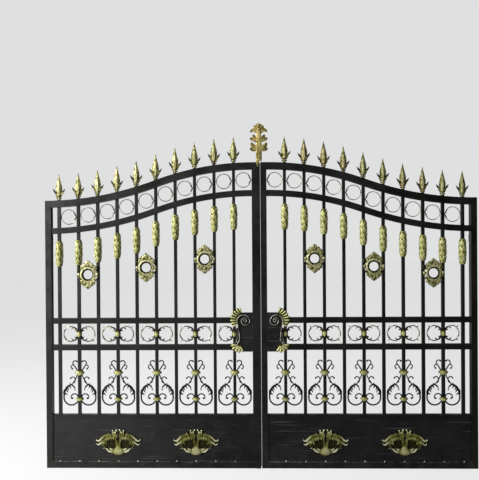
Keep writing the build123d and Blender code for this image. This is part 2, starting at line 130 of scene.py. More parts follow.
def arc(base: Flat, tip: Flat, bend: float, steps: int, front: float = 0.0,
        lift: float = 0.0) -> list[Point]:
    """Lays points along an arc between two places of a casting.

    Args:
        base: Where the arc starts, across and up.
        tip: Where it ends.
        bend: How far its middle bows to the left of its way.
        steps: How many spans it has.
        front: How far it stands in front of the casting's own plane.
        lift: How much further its middle stands forward.

    Returns:
        The points, as across, depth and height.
    """
    a, b = Vector(base), Vector(tip)
    left = Vector((a.y - b.y, b.x - a.x)).normalized()
    chord = (b - a).length
    points = []
    for i in range(steps + 1):
        t = i / steps
        bow = bend * 4 * t * (1 - t)
        flat = a.lerp(b, t) + left * bow
        if abs(bend) > chord * DEEP_BOW:
            radius = chord * chord / (8 * bend) + bend / 2
            half = math.asin(max(-1.0, min(1.0, chord / (2 * radius))))
            turn = half * (2 * t - 1)
            along = (b - a).normalized() * radius * math.sin(turn)
            flat = (a + b) / 2 + along + left * (radius * math.cos(turn) - (radius - bend))
        points.append((flat.x, -front - lift * math.sin(math.pi * t), flat.y))
    return points


def through(start: Flat, middle: Flat, end: Flat, steps: int) -> list[Point]:
    """Lays points along the arc through three places.

    Args:
        start: The first place, across and up.
        middle: A place on the way.
        end: The last place.
        steps: How many spans the arc has.

    Returns:
        The points, as across, depth and height.
    """
    ax, ay = start
    bx, by = middle
    cx, cy = end
    cross = 2 * (ax * (by - cy) + bx * (cy - ay) + cx * (ay - by))
    ux = ((ax * ax + ay * ay) * (by - cy) + (bx * bx + by * by) * (cy - ay)
          + (cx * cx + cy * cy) * (ay - by)) / cross
    uy = ((ax * ax + ay * ay) * (cx - bx) + (bx * bx + by * by) * (ax - cx)
          + (cx * cx + cy * cy) * (bx - ax)) / cross
    radius = math.hypot(ax - ux, ay - uy)
    first = math.atan2(ay - uy, ax - ux)
    mid = (math.atan2(by - uy, bx - ux) - first) % math.tau
    last = (math.atan2(cy - uy, cx - ux) - first) % math.tau
    if mid > last:
        last -= math.tau
    return [(ux + radius * math.cos(first + last * i / steps), 0.0,
             uy + radius * math.sin(first + last * i / steps)) for i in range(steps + 1)]


def trail(start: Flat, *arcs: tuple[Flat, Flat, int]) -> list[Point]:
    """Lays points along arcs that follow one another.

    Args:
        start: Where the first arc starts, across and up.
        arcs: A place on the way, the end and the number of spans of each.

    Returns:
        The points, as across, depth and height.
    """
    points = []
    for middle, end, steps in arcs:
        points += through(start, middle, end, steps)[1 if points else 0:]
        start = end
    return points


class Bench:
    """A mesh on the bench, in millimetres, shaped in edit mode and facing -Y.

    Members share a few words. A bend bows one to the left of its way, the front is how far it
    stands before the casting's plane, a lift brings its middle further forward, the steps are
    its spans and a groove is the share of its thickness that its vein is pressed in.
    """

    def __init__(self) -> None:
        """Starts an empty mesh in edit mode."""
        bpy.ops.object.select_all(action="DESELECT")
        bpy.ops.mesh.primitive_plane_add(size=1)
        self.obj = bpy.context.object
        self.obj.name = "master"
        bpy.ops.object.mode_set(mode="EDIT")
        bpy.ops.mesh.delete(type="VERT")

    def sweep(self, points: Sequence[Point], widths: Sequence[float], depths: Sequence[float],
              sides: int = 8, groove: float = 0.0) -> None:
        """Extrudes a round start along points that lie in one upright plane.

        Args:
            points: The middle of each ring.
            widths: The width of each ring, across the way.
            depths: The thickness of each ring, front to back.
            sides: How many corners a ring has.
            groove: How far the middle of the front is pressed in, as a share of the thickness.
        """
        ways = [math.atan2(b[0] - a[0], b[2] - a[2]) for a, b in zip(points, points[1:])]
        for i in range(1, len(ways)):
            while ways[i] - ways[i - 1] > math.pi:
                ways[i] -= math.tau
            while ways[i] - ways[i - 1] < -math.pi:
                ways[i] += math.tau
        turns = [ways[0], *((a + b) / 2 for a, b in zip(ways, ways[1:])), ways[-1]]
        bpy.ops.mesh.select_all(action="DESELECT")
        bpy.ops.mesh.primitive_circle_add(vertices=sides, radius=1, fill_type="NGON",
                                          location=points[0], rotation=(0, turns[0], 0))
        half = widths[0] / 2
        bpy.ops.transform.resize(value=(half, depths[0] / 2, half), center_override=points[0])
        if groove:
            self.press(groove * depths[0])
        for i in range(1, len(points)):
            step = Vector(points[i]) - Vector(points[i - 1])
            bpy.ops.mesh.extrude_region_move(TRANSFORM_OT_translate={"value": step})
            bpy.ops.transform.rotate(value=turns[i - 1] - turns[i], orient_axis="Y",
                                     center_override=points[i])
            grow = widths[i] / widths[i - 1]
            bpy.ops.transform.resize(value=(grow, depths[i] / depths[i - 1], grow),
                                     center_override=points[i])

    def press(self, depth: float) -> None:
        """Presses the front corner of the ring that is selected in, for a vein.

        Args:
            depth: How far it goes in.
        """
        mesh = bmesh.from_edit_mesh(self.obj.data)
        ring = [v for v in mesh.verts if v.select]
        front = min(ring, key=lambda v: v.co.y)
        for v in ring:
            v.select = v is front
        mesh.select_flush(False)
        bmesh.update_edit_mesh(self.obj.data)
        bpy.ops.transform.translate(value=(0, depth, 0))
        mesh = bmesh.from_edit_mesh(self.obj.data)
        mesh.verts.ensure_lookup_table()
        for face in mesh.verts[ring[0].index].link_faces:
            face.select = True
        mesh.select_flush(True)
        bmesh.update_edit_mesh(self.obj.data)

    def member(self, points: Sequence[Point], width: float, depth: float, outline: Outline,
               groove: float = 0.0) -> None:
        """Sweeps a leaf, horn, rod or rib along points.

        Args:
            points: The middle of each ring.
            width: The full width.
            depth: The full thickness.
            outline: How the width runs to the tip.
            groove: How deep its vein is, as a share of the thickness.
        """
        last = len(points) - 1
        shares = [outline.width(i / last) for i in range(last + 1)]
        self.sweep(points, [width * s for s in shares],
                   [depth * (0.45 + 0.55 * s if s > 0.1 else 0.12) for s in shares],
                   groove=groove)

    def leaf(self, base: Flat, tip: Flat, width: float, depth: float, bend: float = 0.0,
             front: float = 0.0, lift: float = 0.0, outline: Outline = Outline.LEAF,
             steps: int = 6, groove: float = 0.35) -> None:
        """Adds a veined leaf, or another member, along an arc from its base to its tip."""
        self.member(arc(base, tip, bend, steps, front, lift), width, depth, outline, groove)

    def rod(self, path: Sequence[Point], width: float, depth: float,
            front: float = 0.0) -> None:
        """Adds a rounded bar whose middle follows a path."""
        self.member([(x, y - front, z) for x, y, z in path], width, depth, Outline.ROD)

    def ball(self, place: Point, width: float, depth: float, height: float) -> None:
        """Adds a rounded knob, pulled to its three sizes.

        Args:
            place: Its middle.
            width: Its size across.
            depth: Its size front to back.
            height: Its size upwards.
        """
        bpy.ops.mesh.select_all(action="DESELECT")
        bpy.ops.mesh.primitive_uv_sphere_add(segments=16, ring_count=8, radius=0.5,
                                             location=place)
        bpy.ops.transform.resize(value=(width, depth, height), center_override=place)

    def slab(self, size: Point, edge: float) -> None:
        """Adds a flat bar about the middle, with its edges rounded.

        Args:
            size: Its sizes across, front to back and upwards.
            edge: How far the rounding reaches in.
        """
        bpy.ops.mesh.select_all(action="DESELECT")
        bpy.ops.mesh.primitive_cube_add(size=1)
        bpy.ops.transform.resize(value=size, center_override=(0, 0, 0))
        bpy.ops.mesh.bevel(offset=edge, segments=3, affect="EDGES")

    def hoop(self, place: Point, width: float, height: float, bar: float,
             segments: int = 40) -> None:
        """Adds a round or oval hoop that faces the front.

        Args:
            place: Its middle.
            width: Its size across, to its outside.
            height: Its size upwards.
            bar: The thickness of its bar.
            segments: How many spans go round it.
        """
        bpy.ops.mesh.select_all(action="DESELECT")
        bpy.ops.mesh.primitive_torus_add(
            location=place, rotation=(math.pi / 2, 0, 0), major_segments=segments,
            minor_segments=8, major_radius=(width - bar) / 2, minor_radius=bar / 2)
        bpy.ops.transform.resize(value=(1, 1, (height - bar) / (width - bar)),
                                 center_override=place)

    def turned(self, profile: Sequence[Flat], sides: int) -> None:
        """Adds a turned shape on the upright axis, from radii and heights."""
        widths = [2 * r for r, _ in profile]
        self.sweep([(0, 0, z) for _, z in profile], widths, widths, sides)

    def around(self, count: int) -> None:
        """Copies what is selected round the upright axis.

        Args:
            count: How many there are in the end.
        """
        for _ in range(count - 1):
            bpy.ops.mesh.duplicate_move()
            bpy.ops.transform.rotate(value=math.tau / count, orient_axis="Z",
                                     center_override=(0, 0, 0))

    def pair(self) -> None:
        """Mirrors the whole mesh across its own middle."""
        bpy.ops.mesh.select_all(action="SELECT")
        bpy.ops.mesh.duplicate_move()
        bpy.ops.transform.resize(value=(-1, 1, 1), center_override=(0, 0, 0))
        bpy.ops.mesh.flip_normals()

    def done(self, relief_and_shade: Callable[[Vector], float], angle: float = 45.0) -> Piece:
        """Closes the mesh and stores, for each point, how far it stands out and, on some
        castings, the shade and light painted on it.

        Args:
            relief_and_shade: Gives 0 for a recess and 1 for a high place, from a point in
                millimetres.
            angle: Edges sharper than this, in degrees, stay crisp.

        Returns:
            The finished master, still in millimetres.
        """
        bpy.ops.mesh.select_all(action="SELECT")
        bpy.ops.mesh.remove_doubles(threshold=DOUBLES)
        bpy.ops.mesh.normals_make_consistent(inside=False)
        bpy.ops.object.mode_set(mode="OBJECT")
        bpy.ops.object.shade_smooth_by_angle(angle=math.radians(angle))
        stored = self.obj.data.attributes.new("relief_and_shade", "FLOAT", "POINT")
        values = [max(0.0, min(1.0, relief_and_shade(v.co))) for v in self.obj.data.vertices]
        stored.data.foreach_set("value", values)
        return self.obj


class Graph:
    """A node tree being wired."""

    def __init__(self, tree: bpy.types.NodeTree) -> None:
        """Keeps the tree of a material, the world or a group, and empties it."""
        self.tree = tree
        tree.nodes.clear()

    def add(self, kind: str, **settings: object) -> bpy.types.Node:
        """Adds a node.

        Args:
            kind: The node's type without its Shader Node prefix.
            settings: Properties to set. A name with `in_` before it, and underscores for its
                spaces, is an input that takes a value or another node's socket.

        Returns:
            The node.
        """
        node = self.tree.nodes.new(kind if kind.startswith("Node") else f"ShaderNode{kind}")
        for key, value in settings.items():
            if not key.startswith("in_"):
                setattr(node, key, value)
                continue
            slot = key[3:].replace("_", " ")
            target = node.inputs[int(slot) if slot.isdigit() else slot]
            if isinstance(value, Socket):
                self.tree.links.new(value, target)
            else:
                target.default_value = value
        return node

    def noise(self, scale: object, detail: float, roughness: float = 0.5,
              stretch: Point = (1.0, 1.0, 1.0)) -> Socket:
        """Adds noise that lies in the object's own space.

        Args:
            scale: How fine it is, or the socket that says so.
            detail: How many finer layers it has.
            roughness: How much the finer layers show.
            stretch: How much finer it is along each axis.

        Returns:
            The socket of its value.
        """
        place = self.add("TexCoord").outputs["Object"]
        laid = self.add("Mapping", in_Vector=place, in_Scale=stretch)
        return self.add("TexNoise", in_Vector=laid.outputs[0], in_Scale=scale, in_Detail=detail,
                        in_Roughness=roughness).outputs[0]

    def mix(self, mask: Socket, low: object, high: object) -> Socket:
        """Blends two colours, or sockets that give them, by a mask for the second."""
        low, high = ((*c, 1.0) if isinstance(c, tuple) else c for c in (low, high))
        return self.add("Mix", data_type="RGBA", in_0=mask, in_6=low, in_7=high).outputs[2]

    def spread(self, value: Socket, low: float, high: float, to_low: float = 0.0,
               to_high: float = 1.0) -> Socket:
        """Stretches a value from the range low to high to the range to_low to to_high."""
        return self.add("MapRange", in_0=value, in_1=low, in_2=high, in_3=to_low,
                        in_4=to_high).outputs[0]

    def math(self, how: str, a: Socket, b: object) -> Socket:
        """Does the named sum with a socket and a value or socket, kept between 0 and 1."""
        return self.add("Math", operation=how, use_clamp=True, in_0=a, in_1=b).outputs[0]


def group(name: str, values: dict[str, float],
          results: Sequence[str]) -> tuple[Graph, Sequence[Socket]]:
    """Starts a shared node group.

    Args:
        name: Its name.
        values: Its inputs, each with the value it has until set.
        results: Its outputs.

    Returns:
        The graph to wire and the sockets that give the inputs.
    """
    tree = bpy.data.node_groups.new(name, "ShaderNodeTree")
    for value, start in values.items():
        tree.interface.new_socket(value, in_out="INPUT", socket_type="NodeSocketFloat")
        tree.interface.items_tree[value].default_value = start
    for result in results:
        tree.interface.new_socket(result, in_out="OUTPUT", socket_type="NodeSocketFloat")
    g = Graph(tree)
    return g, g.add("NodeGroupInput").outputs


def grain_group() -> bpy.types.NodeTree:
    """Builds the group that gives broad patches, fine specks and a cast or brushed-on grain.

    Returns:
        The group, with the outputs Patches, Specks and Height.
    """
    g, put = group("surface grain",
                   {"Patch Scale": 6.0, "Speck Scale": 90.0, "Grain Scale": 400.0},
                   ("Patches", "Specks", "Height"))
    patches, specks, height = (
        g.spread(g.noise(put[slot], detail, 0.6), low, high)
        for slot, detail, low, high in ((0, 4.0, 0.42, 0.62), (1, 3.0, 0.58, 0.7),
                                        (2, 2.0, 0.2, 0.8)))
    g.add("NodeGroupOutput", in_0=patches, in_1=specks, in_2=height)
    return g.tree


def dust_group() -> bpy.types.NodeTree:
    """Builds the group that gives the dust lying on ledges and near the ground.

    Returns:
        The group, with the output Dust.
    """
    g, put = group("settled dust", {"Ledges": 0.5, "Foot": 0.4, "Foot Height": 0.35}, ("Dust",))
    facing = g.add("SeparateXYZ", in_0=g.add("NewGeometry").outputs["Normal"])
    ledge = g.spread(facing.outputs[2], 0.5, 0.95)
    place = g.add("SeparateXYZ", in_0=g.add("TexCoord").outputs["Object"])
    rise = g.add("Math", operation="SUBTRACT", in_0=place.outputs[2], in_1=FLOOR)
    foot = g.spread(g.math("DIVIDE", rise.outputs[0], put[2]), 0, 1, 1, 0)
    patch = g.spread(g.noise(14.0, 5.0, 0.65), 0.38, 0.66)
    low = g.math("MULTIPLY", g.math("MULTIPLY", foot, put[1]), patch)
    top = g.math("MULTIPLY", g.math("MULTIPLY", ledge, put[0]), patch)
    g.add("NodeGroupOutput", in_0=g.math("ADD", low, top))
    return g.tree


def edge_group() -> bpy.types.NodeTree:
    """Builds the group that finds the edges, where the coat rubs through and where a highlight
    is painted on.

    Returns:
        The group, with the output Edge.
    """
    g, put = group("rubbed and highlighted edges", {"Width": 0.002}, ("Edge",))
    rounded = g.add("Bevel", samples=4, in_Radius=put[0])
    turn = g.add("VectorMath", operation="DOT_PRODUCT", in_0=rounded.outputs[0],
                 in_1=g.add("NewGeometry").outputs["Normal"])
    g.add("NodeGroupOutput", in_0=g.spread(turn.outputs["Value"], 0.995, 0.88))
    return g.tree


@dataclass(frozen=True)
class Finish:
    """A finish: paint or gilding over cast or drawn iron."""

    name: str
    deep: Colour
    body: Colour
    high: Colour
    warm: Colour = (0.0, 0.0, 0.0)
    roughness: Span = (0.38, 0.55)
    metallic: float = 0.0
    specular: float = 0.5
    patch_scale: float = 6.0
    grain: float = 0.15
    grain_scale: float = 400.0
    ledges: float = 0.5
    foot: float = 0.4
    worn: float = 0.0
    streaks: float = 0.0
    mottle: float = 0.4
    follows_relief_and_shade: bool = False

    dust: ClassVar[Colour] = (0.26, 0.25, 0.22)
    dust_rough: ClassVar[float] = 0.3
    grain_depth: ClassVar[float] = 0.002
    warm_scale: ClassVar[float] = 5.0
    warm_range: ClassVar[Span] = (0.47, 0.62)
    hollows: ClassVar[Span] = (0.04, 0.42)
    heights: ClassVar[Span] = (0.3, 0.85)
    streak_stretch: ClassVar[Point] = (1.6, 1.6, 46.0)
    streak_scale: ClassVar[float] = 2.2
    streak_range: ClassVar[Span] = (0.62, 0.76)

    def material(self) -> bpy.types.Material:
        """Builds the finish once and gives it again when asked later.

        Returns:
            The material.
        """
        kept = bpy.data.materials.get(self.name)
        if kept:
            return kept
        made = bpy.data.materials.new(self.name)
        made.use_nodes = True
        g = Graph(made.node_tree)
        groups = bpy.data.node_groups
        patches, specks, height = g.add(
            "Group", node_tree=groups.get("surface grain") or grain_group(),
            in_Patch_Scale=self.patch_scale, in_Grain_Scale=self.grain_scale).outputs
        dust = g.add("Group", node_tree=groups.get("settled dust") or dust_group(),
                     in_Ledges=self.ledges, in_Foot=self.foot).outputs[0]
        coat = self.raised if self.follows_relief_and_shade else self.drawn
        bump = g.add("Bump", in_Strength=self.grain, in_Distance=self.grain_depth,
                     in_Height=height)
        skin = g.add(
            "BsdfPrincipled", in_Metallic=self.metallic, in_Specular_IOR_Level=self.specular,
            in_Base_Color=g.mix(dust, coat(g, patches, specks), self.dust),
            in_Roughness=g.math("ADD", g.spread(patches, 0, 1, *self.roughness),
                                g.spread(dust, 0, 1, 0, self.dust_rough)),
            in_Normal=bump.outputs[0])
        g.add("OutputMaterial", in_Surface=skin.outputs[0])
        return made

    def raised(self, g: Graph, patches: Socket, specks: Socket) -> Socket:
        """Wires the colour of a casting, which is brighter where it stands out and where light
        is painted on, and darker where shade is painted on.

        Args:
            g: The material's tree.
            patches: The broad patches.
            specks: The fine specks.

        Returns:
            The socket of the colour.
        """
        # The stored value says how far the casting stands out, with the painted shade and
        # painted light of some castings mixed in.
        stored = g.add("Attribute", attribute_name="relief_and_shade").outputs["Fac"]
        relief_and_shade = g.math("SUBTRACT", stored, g.spread(patches, 0, 1, 0, self.mottle))
        warmth = g.spread(g.noise(self.warm_scale, 1.0), *self.warm_range)
        tinted = g.mix(warmth, self.body, self.warm)
        colour = g.mix(g.spread(relief_and_shade, *self.hollows), self.deep, tinted)
        colour = g.mix(g.spread(relief_and_shade, *self.heights), colour, self.high)
        return g.mix(g.math("MULTIPLY", specks, self.worn), colour, self.deep)

    def drawn(self, g: Graph, patches: Socket, specks: Socket) -> Socket:
        """Wires the colour of a tube or a sheet, with wear and a painted highlight along its
        edges, and wiped streaks.

        Args:
            g: The material's tree.
            patches: The broad patches.
            specks: The fine specks.

        Returns:
            The socket of the colour.
        """
        tree = bpy.data.node_groups.get("rubbed and highlighted edges") or edge_group()
        edges = g.add("Group", node_tree=tree)
        # The edges are lightened: partly wear where the coat rubs through, partly a painted
        # highlight along them.
        rubbed = g.math("MULTIPLY", edges.outputs[0], g.spread(patches, 0, 1, 0.1, 0.7))
        colour = g.mix(patches, self.deep, self.body)
        for mask in (g.math("MULTIPLY", specks, self.worn), rubbed):
            colour = g.mix(mask, colour, self.high)
        if self.streaks:
            wiped = g.noise(self.streak_scale, 2.0, stretch=self.streak_stretch)
            streak = g.spread(wiped, *self.streak_range, 0, self.streaks)
            colour = g.mix(streak, colour, self.high)
        return colour


@dataclass(frozen=True)
class Gilding(Finish):
    """Gilding, which catches on what stands out of a casting."""

    metallic: float = 0.2
    specular: float = 0.15
    patch_scale: float = 40.0
    grain: float = 0.2
    grain_scale: float = 300.0
    ledges: float = 0.1
    foot: float = 0.0
    worn: float = 0.4
    follows_relief_and_shade: bool = True


PAINT = Finish("black satin paint", (0.0015, 0.0014, 0.001), (0.0038, 0.0036, 0.003),
               (0.036, 0.036, 0.032), roughness=(0.34, 0.5), specular=0.36, grain=0.08,
               worn=0.2, ledges=0.35, foot=0.06)
PANEL = Finish("black panel paint", (0.0015, 0.0016, 0.0018), (0.0042, 0.0046, 0.0048),
               (0.06, 0.06, 0.06), roughness=(0.3, 0.5), specular=0.4, grain=0.12,
               grain_scale=120.0, ledges=0.2, foot=0.03, worn=0.2, streaks=0.8)
CAST = Finish("black cast iron paint", (0.002, 0.002, 0.002), (0.005, 0.005, 0.0045),
              (0.016, 0.016, 0.014), (0.005, 0.005, 0.0045), roughness=(0.4, 0.6),
              specular=0.15, grain=0.3, grain_scale=260.0, follows_relief_and_shade=True, foot=0.1)
BOLT = Finish("galvanised bolt", (0.16, 0.16, 0.155), (0.3, 0.3, 0.29), (0.12, 0.07, 0.04),
              roughness=(0.35, 0.55), metallic=0.8, grain=0.1, foot=0.1, worn=0.5)
GILT = Gilding("pale gilding over black", (0.012, 0.0115, 0.002), (0.2, 0.195, 0.045),
               (0.48, 0.47, 0.25), (0.24, 0.165, 0.045), (0.42, 0.56), metallic=0.3,
               patch_scale=48.0, grain=0.25)
LEAFED = Gilding("smooth gilding", (0.02, 0.019, 0.003), (0.2, 0.2, 0.038),
                 (0.52, 0.515, 0.23), (0.17, 0.18, 0.03), (0.4, 0.55), specular=0.2,
                 patch_scale=30.0, worn=0.15, mottle=0.2)
CARVED = Gilding("gilding on carved wreaths", (0.01, 0.0095, 0.002), (0.155, 0.155, 0.03),
                 (0.5, 0.485, 0.27), (0.13, 0.115, 0.03), (0.4, 0.55), metallic=0.3,
                 patch_scale=78.0, grain=0.25, mottle=0.6)
TIPPED = Gilding("white gold tips over black", (0.02, 0.017, 0.005), (0.22, 0.22, 0.05),
                 (0.72, 0.71, 0.46), (0.17, 0.165, 0.04), (0.36, 0.52), metallic=0.25,
                 patch_scale=22.0, worn=0.15, mottle=0.16)
BRASS = Gilding("brass gilding", (0.06, 0.045, 0.01), (0.3, 0.23, 0.06), (0.6, 0.48, 0.19),
                (0.2, 0.185, 0.05), (0.34, 0.48), metallic=0.3, specular=0.2)
RUBBED = Gilding("rubbed gilding on rings", (0.015, 0.015, 0.007), (0.16, 0.16, 0.08),
                 (0.72, 0.72, 0.52), (0.06, 0.06, 0.03), (0.35, 0.55), specular=0.3,
                 ledges=0.2, worn=0.5)
SCROLL = Gilding("grey highlights on black", (0.01, 0.01, 0.008), (0.14, 0.135, 0.115),
                 (0.55, 0.53, 0.45), (0.08, 0.08, 0.065), (0.3, 0.5), specular=0.3, worn=0.3)


def dress(node: str, finish: Finish) -> None:
    """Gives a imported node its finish.

    Args:
        node: The node's name.
        finish: What it is covered with.
    """
    obj = frame["nodes"][node]
    obj.data.materials.clear()
    obj.data.materials.append(finish.material())


def columns(node: str, gap: float = 0.03) -> list[tuple[Vector, Vector]]:
    """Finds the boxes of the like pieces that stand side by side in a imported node.

    Args:
        node: The node's name.
        gap: The clear width between two pieces, in metres.

    Returns:
        The lowest and highest corner of each, from left to right.
    """
    points = sorted((v.co for v in frame["nodes"][node].data.vertices), key=lambda p: p.x)
    groups = [[points[0]]]
    for p in points[1:]:
        if p.x - groups[-1][-1].x > gap:
            groups.append([])
        groups[-1].append(p)
    return [(Vector(min(p[i] for p in g) for i in range(3)),
             Vector(max(p[i] for p in g) for i in range(3))) for g in groups]


def set_out(master: Piece, places: Sequence[Vector], name: str, body: str,
            finish: Finish, nodes: Sequence[str] = (), mirrored: bool = False) -> Piece:
    """Copies a master to its places, joins the copies, lets them ride and drops the master.

    Args:
        master: The shape, in millimetres about its own middle.
        places: Where its middle goes, in metres.
        name: The finished piece's name.
        body: The body that it rides on.
        finish: What it is finished in.
        nodes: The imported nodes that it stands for.
        mirrored: Whether left and right are swapped.

    Returns:
        The finished piece.
    """
    bpy.ops.object.select_all(action="DESELECT")
    copies = []
    across = -MM if mirrored else MM
    for place in places:
        copy = bpy.data.objects.new(name, master.data.copy())
        bpy.context.collection.objects.link(copy)
        copy.data.transform(Matrix.Translation(place) @ Matrix.Diagonal((across, MM, MM, 1)))
        copy.data.materials.clear()
        copy.data.materials.append(finish.material())
        copy.select_set(True)
        copies.append(copy)
    bpy.context.view_layer.objects.active = copies[0]
    if len(copies) > 1:
        bpy.ops.object.join()
    piece = bpy.context.view_layer.objects.active
    if mirrored:
        bpy.ops.object.mode_set(mode="EDIT")
        bpy.ops.mesh.select_all(action="SELECT")
        bpy.ops.mesh.flip_normals()
        bpy.ops.object.mode_set(mode="OBJECT")
    piece.select_set(False)
    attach(piece, body)
    if nodes:
        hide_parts(*nodes)
    mesh = master.data
    bpy.data.objects.remove(master)
    bpy.data.meshes.remove(mesh)
    return piece


@dataclass
class Casting:
    """A casting that is modelled once and fixed at each of its places on a leaf."""

    node: ClassVar[str]
    piece: ClassVar[str]
    finish: ClassVar[Finish] = GILT
    slot: ClassVar[str] = "gilded_castings"
    gap: ClassVar[float] = 0.03
    handed: ClassVar[bool] = False

    def master(self) -> Piece:
        """Models the casting about the place by which it is fixed."""
        raise NotImplementedError

    def spot(self, low: Vector, high: Vector) -> Vector:
        """Gives the place by which the casting is fixed, in the box of a packed one."""
        return (low + high) / 2

    def places(self, side: Side) -> list[Vector]:
        """Finds the places on a leaf, from left to right."""
        return [self.spot(low, high) for low, high in columns(side.node(self.node), self.gap)]

    def build(self, side: Side) -> list[Piece]:
        """Fixes the castings of a leaf.

        Args:
            side: The leaf.

        Returns:
            The finished pieces.
        """
        return [set_out(self.master(), self.places(side), side.node(self.piece), side.body,
                        self.finish, (side.node(self.node),),
                        self.handed and side is Side.RIGHT)]


@dataclass
class Spearheads(Casting):
    """The gilded spearheads over the top rail, one on every bar."""

    node = "spearheads"
    piece = "spearhead_castings"

    neck: float = 12.0
    neck_height: float = 26.0
    blade_width: float = 45.0
    blade_depth: float = 16.0
    shoulder: float = 68.0
    height: float = 171.0
    barb_reach: float = 41.0
    barb_top: float = 75.0

    def master(self) -> Piece:
        """Models one spearhead that stands on its foot.

        Returns:
            The master.
        """
        bench = Bench()
        w, d, cup, neck = self.blade_width, self.blade_depth, self.neck_height, self.neck / 2
        bench.turned(((neck + 4, 0), (neck + 3, 5), (neck + 1, 11), (neck + 2, cup - 5),
                      (11, cup), (12.5, cup + 6), (10, cup + 12), (7, cup + 16)), 16)
        stations = ((cup + 5, 0.42, 0.6), (48, 0.76, 0.8), (self.shoulder, 1.0, 1.0),
                    (84, 0.95, 0.95), (104, 0.74, 0.8), (124, 0.5, 0.6),
                    (144, 0.28, 0.4), (159, 0.13, 0.22), (self.height, 0.03, 0.06))
        bench.sweep([(0, 0, z) for z, _, _ in stations], [w * a for _, a, _ in stations],
                    [d * b for _, _, b in stations], 4)
        for front in (5.0, -5.0):
            bench.leaf((0, cup + 6), (0, self.shoulder + 34), 15, 6, front=front,
                       lift=front * 0.7)
        for width, base, tip, bend, outline in (
                (16, (6, 40), (self.barb_reach, self.barb_top), -6, Outline.LEAF),
                (15, (4, 30), (25, 42), -3, Outline.LOBE),
                (12, (5, 20), (19, 29), -2, Outline.LOBE),
                (10, (5, 6), (17, 14), -1, Outline.LOBE)):
            bench.leaf(base, tip, width, 8, bend, outline=outline)
            bench.leaf((-base[0], base[1]), (-tip[0], tip[1]), width, 8, -bend, outline=outline)
        return bench.done(self.relief_and_shade, angle=32)

    def relief_and_shade(self, p: Vector) -> float:
        """Gives how bright the gilt is at a point: brighter on the blade's middle and faces,
        darker towards its edges and its point, with painted shade on the barbs and dark paint on
        the neck.

        Args:
            p: The point on the master, in millimetres.

        Returns:
            The brightness, where 0 and less is dark and 1 a high place.
        """
        ridge = 0.9 - min(1.0, abs(p.x) / 24) * 0.5
        # Painted shade: the barbs and the outer ends of the lower lobes are darkened; below the
        # cup the neck and foot are dark paint.
        tip = 0.55 if math.hypot(p.x, p.y) > 27 or p.z < self.neck_height - 2 else 1.0
        fade = 1 - 0.5 * max(0.0, p.z - 115) / 56
        return ridge * tip * fade * (0.75 + 0.25 * min(1.0, abs(p.y) / 7))

    def spot(self, low: Vector, high: Vector) -> Vector:
        """Gives the middle of the foot."""
        return Vector(((low.x + high.x) / 2, (low.y + high.y) / 2, low.z))


@dataclass
class BarrelCollars(Casting):
    """The leafed barrel collars, one threaded on every bar."""

    node = "bar_collars"
    piece = "barrel_collars"
    finish = LEAFED

    length: float = 168.0
    radius: float = 20.5
    end_radius: float = 17.5
    tiers: int = 4
    leaves: int = 6
    lip: float = 9.0
    tier_margin: float = 22.0
    overlap: float = 1.12
    flare: float = 5.6

    def core(self, z: float) -> float:
        """Gives the radius under the leaves at a height from the middle."""
        share = min(1.0, abs(z) / (self.length / 2 - self.lip))
        return self.end_radius + (self.radius - self.end_radius) * math.cos(math.pi / 2 * share)

    def master(self) -> Piece:
        """Models one collar about its middle: a turned core in tiers of overlapping leaves.

        Returns:
            The master.
        """
        bench = Bench()
        half = self.length / 2
        end = self.end_radius
        bench.turned(((11, -half), (end + 0.5, -half + 0.5), (end + 1.8, -half + 4.5),
                      (end, -half + self.lip),
                      *((self.core(z), z) for z in (-54, -27, 0, 27, 54)),
                      (end, half - self.lip), (end + 1.8, half - 4.5), (end + 0.5, half - 0.5),
                      (11, half)), 20)
        step = (self.length - self.tier_margin) / self.tiers
        for tier in range(self.tiers):
            foot = -half + self.lip + tier * step
            path = []
            for i in range(6):
                t = i / 5
                z = foot + t * step * self.overlap
                path.append((0, -(self.core(z) + 0.3 + self.flare * t ** 2), z))
            bench.member(path, self.core(foot) * 1.3, 5.4, Outline.LEAF, 0.4)
            bpy.ops.mesh.select_linked()
            bpy.ops.transform.rotate(value=math.pi / self.leaves * (tier % 2), orient_axis="Z",
                                     center_override=(0, 0, 0))
            bench.around(self.leaves)
        return bench.done(self.relief_and_shade, angle=50)

    def relief_and_shade(self, p: Vector) -> float:
        """Gives how far a point stands out from the core."""
        return 0.3 + (math.hypot(p.x, p.y) - self.core(p.z) + 0.5) / 9.5


@dataclass
class TopRings(Casting):
    """The thin rings between the two curved rails, one in every bay."""

    node = "top_rings"
    piece = "band_rings_upper"
    finish = RUBBED
    slot = "ring_gilt"
    gap = 0.01
    handed = True

    width: float = 102.0
    bar: float = 5.0
    bay: float = 110.0
    claw: float = 30.0

    def master(self) -> Piece:
        """Models one ring with its tacks and claws.

        Returns:
            The master.
        """
        bench = Bench()
        bench.hoop((0, 0, 0), self.width, self.width, self.bar, 48)
        r = (self.width - self.bar) / 2
        for up in (1, -1):
            bench.leaf((r, 5 * up), (r - self.claw / 2, self.claw * up), 6.5, 5, 2.5 * up,
                       outline=Outline.HORN)
            bench.ball((r - self.claw / 2, 0, self.claw * up), 5, 4.4, 5)
        for side in (1, -1):
            bench.ball((side * (self.bay / 2 - 1.5), 0, 0), 9, 5, 8)
        return bench.done(self.relief_and_shade)

    def relief_and_shade(self, p: Vector) -> float:
        """Gives how far a point stands out: the ring is rubbed on its front and top."""
        return 0.3 + 0.25 * (-p.y / self.bar) + 0.25 * math.sin(p.x * 0.09 + p.z * 0.05)


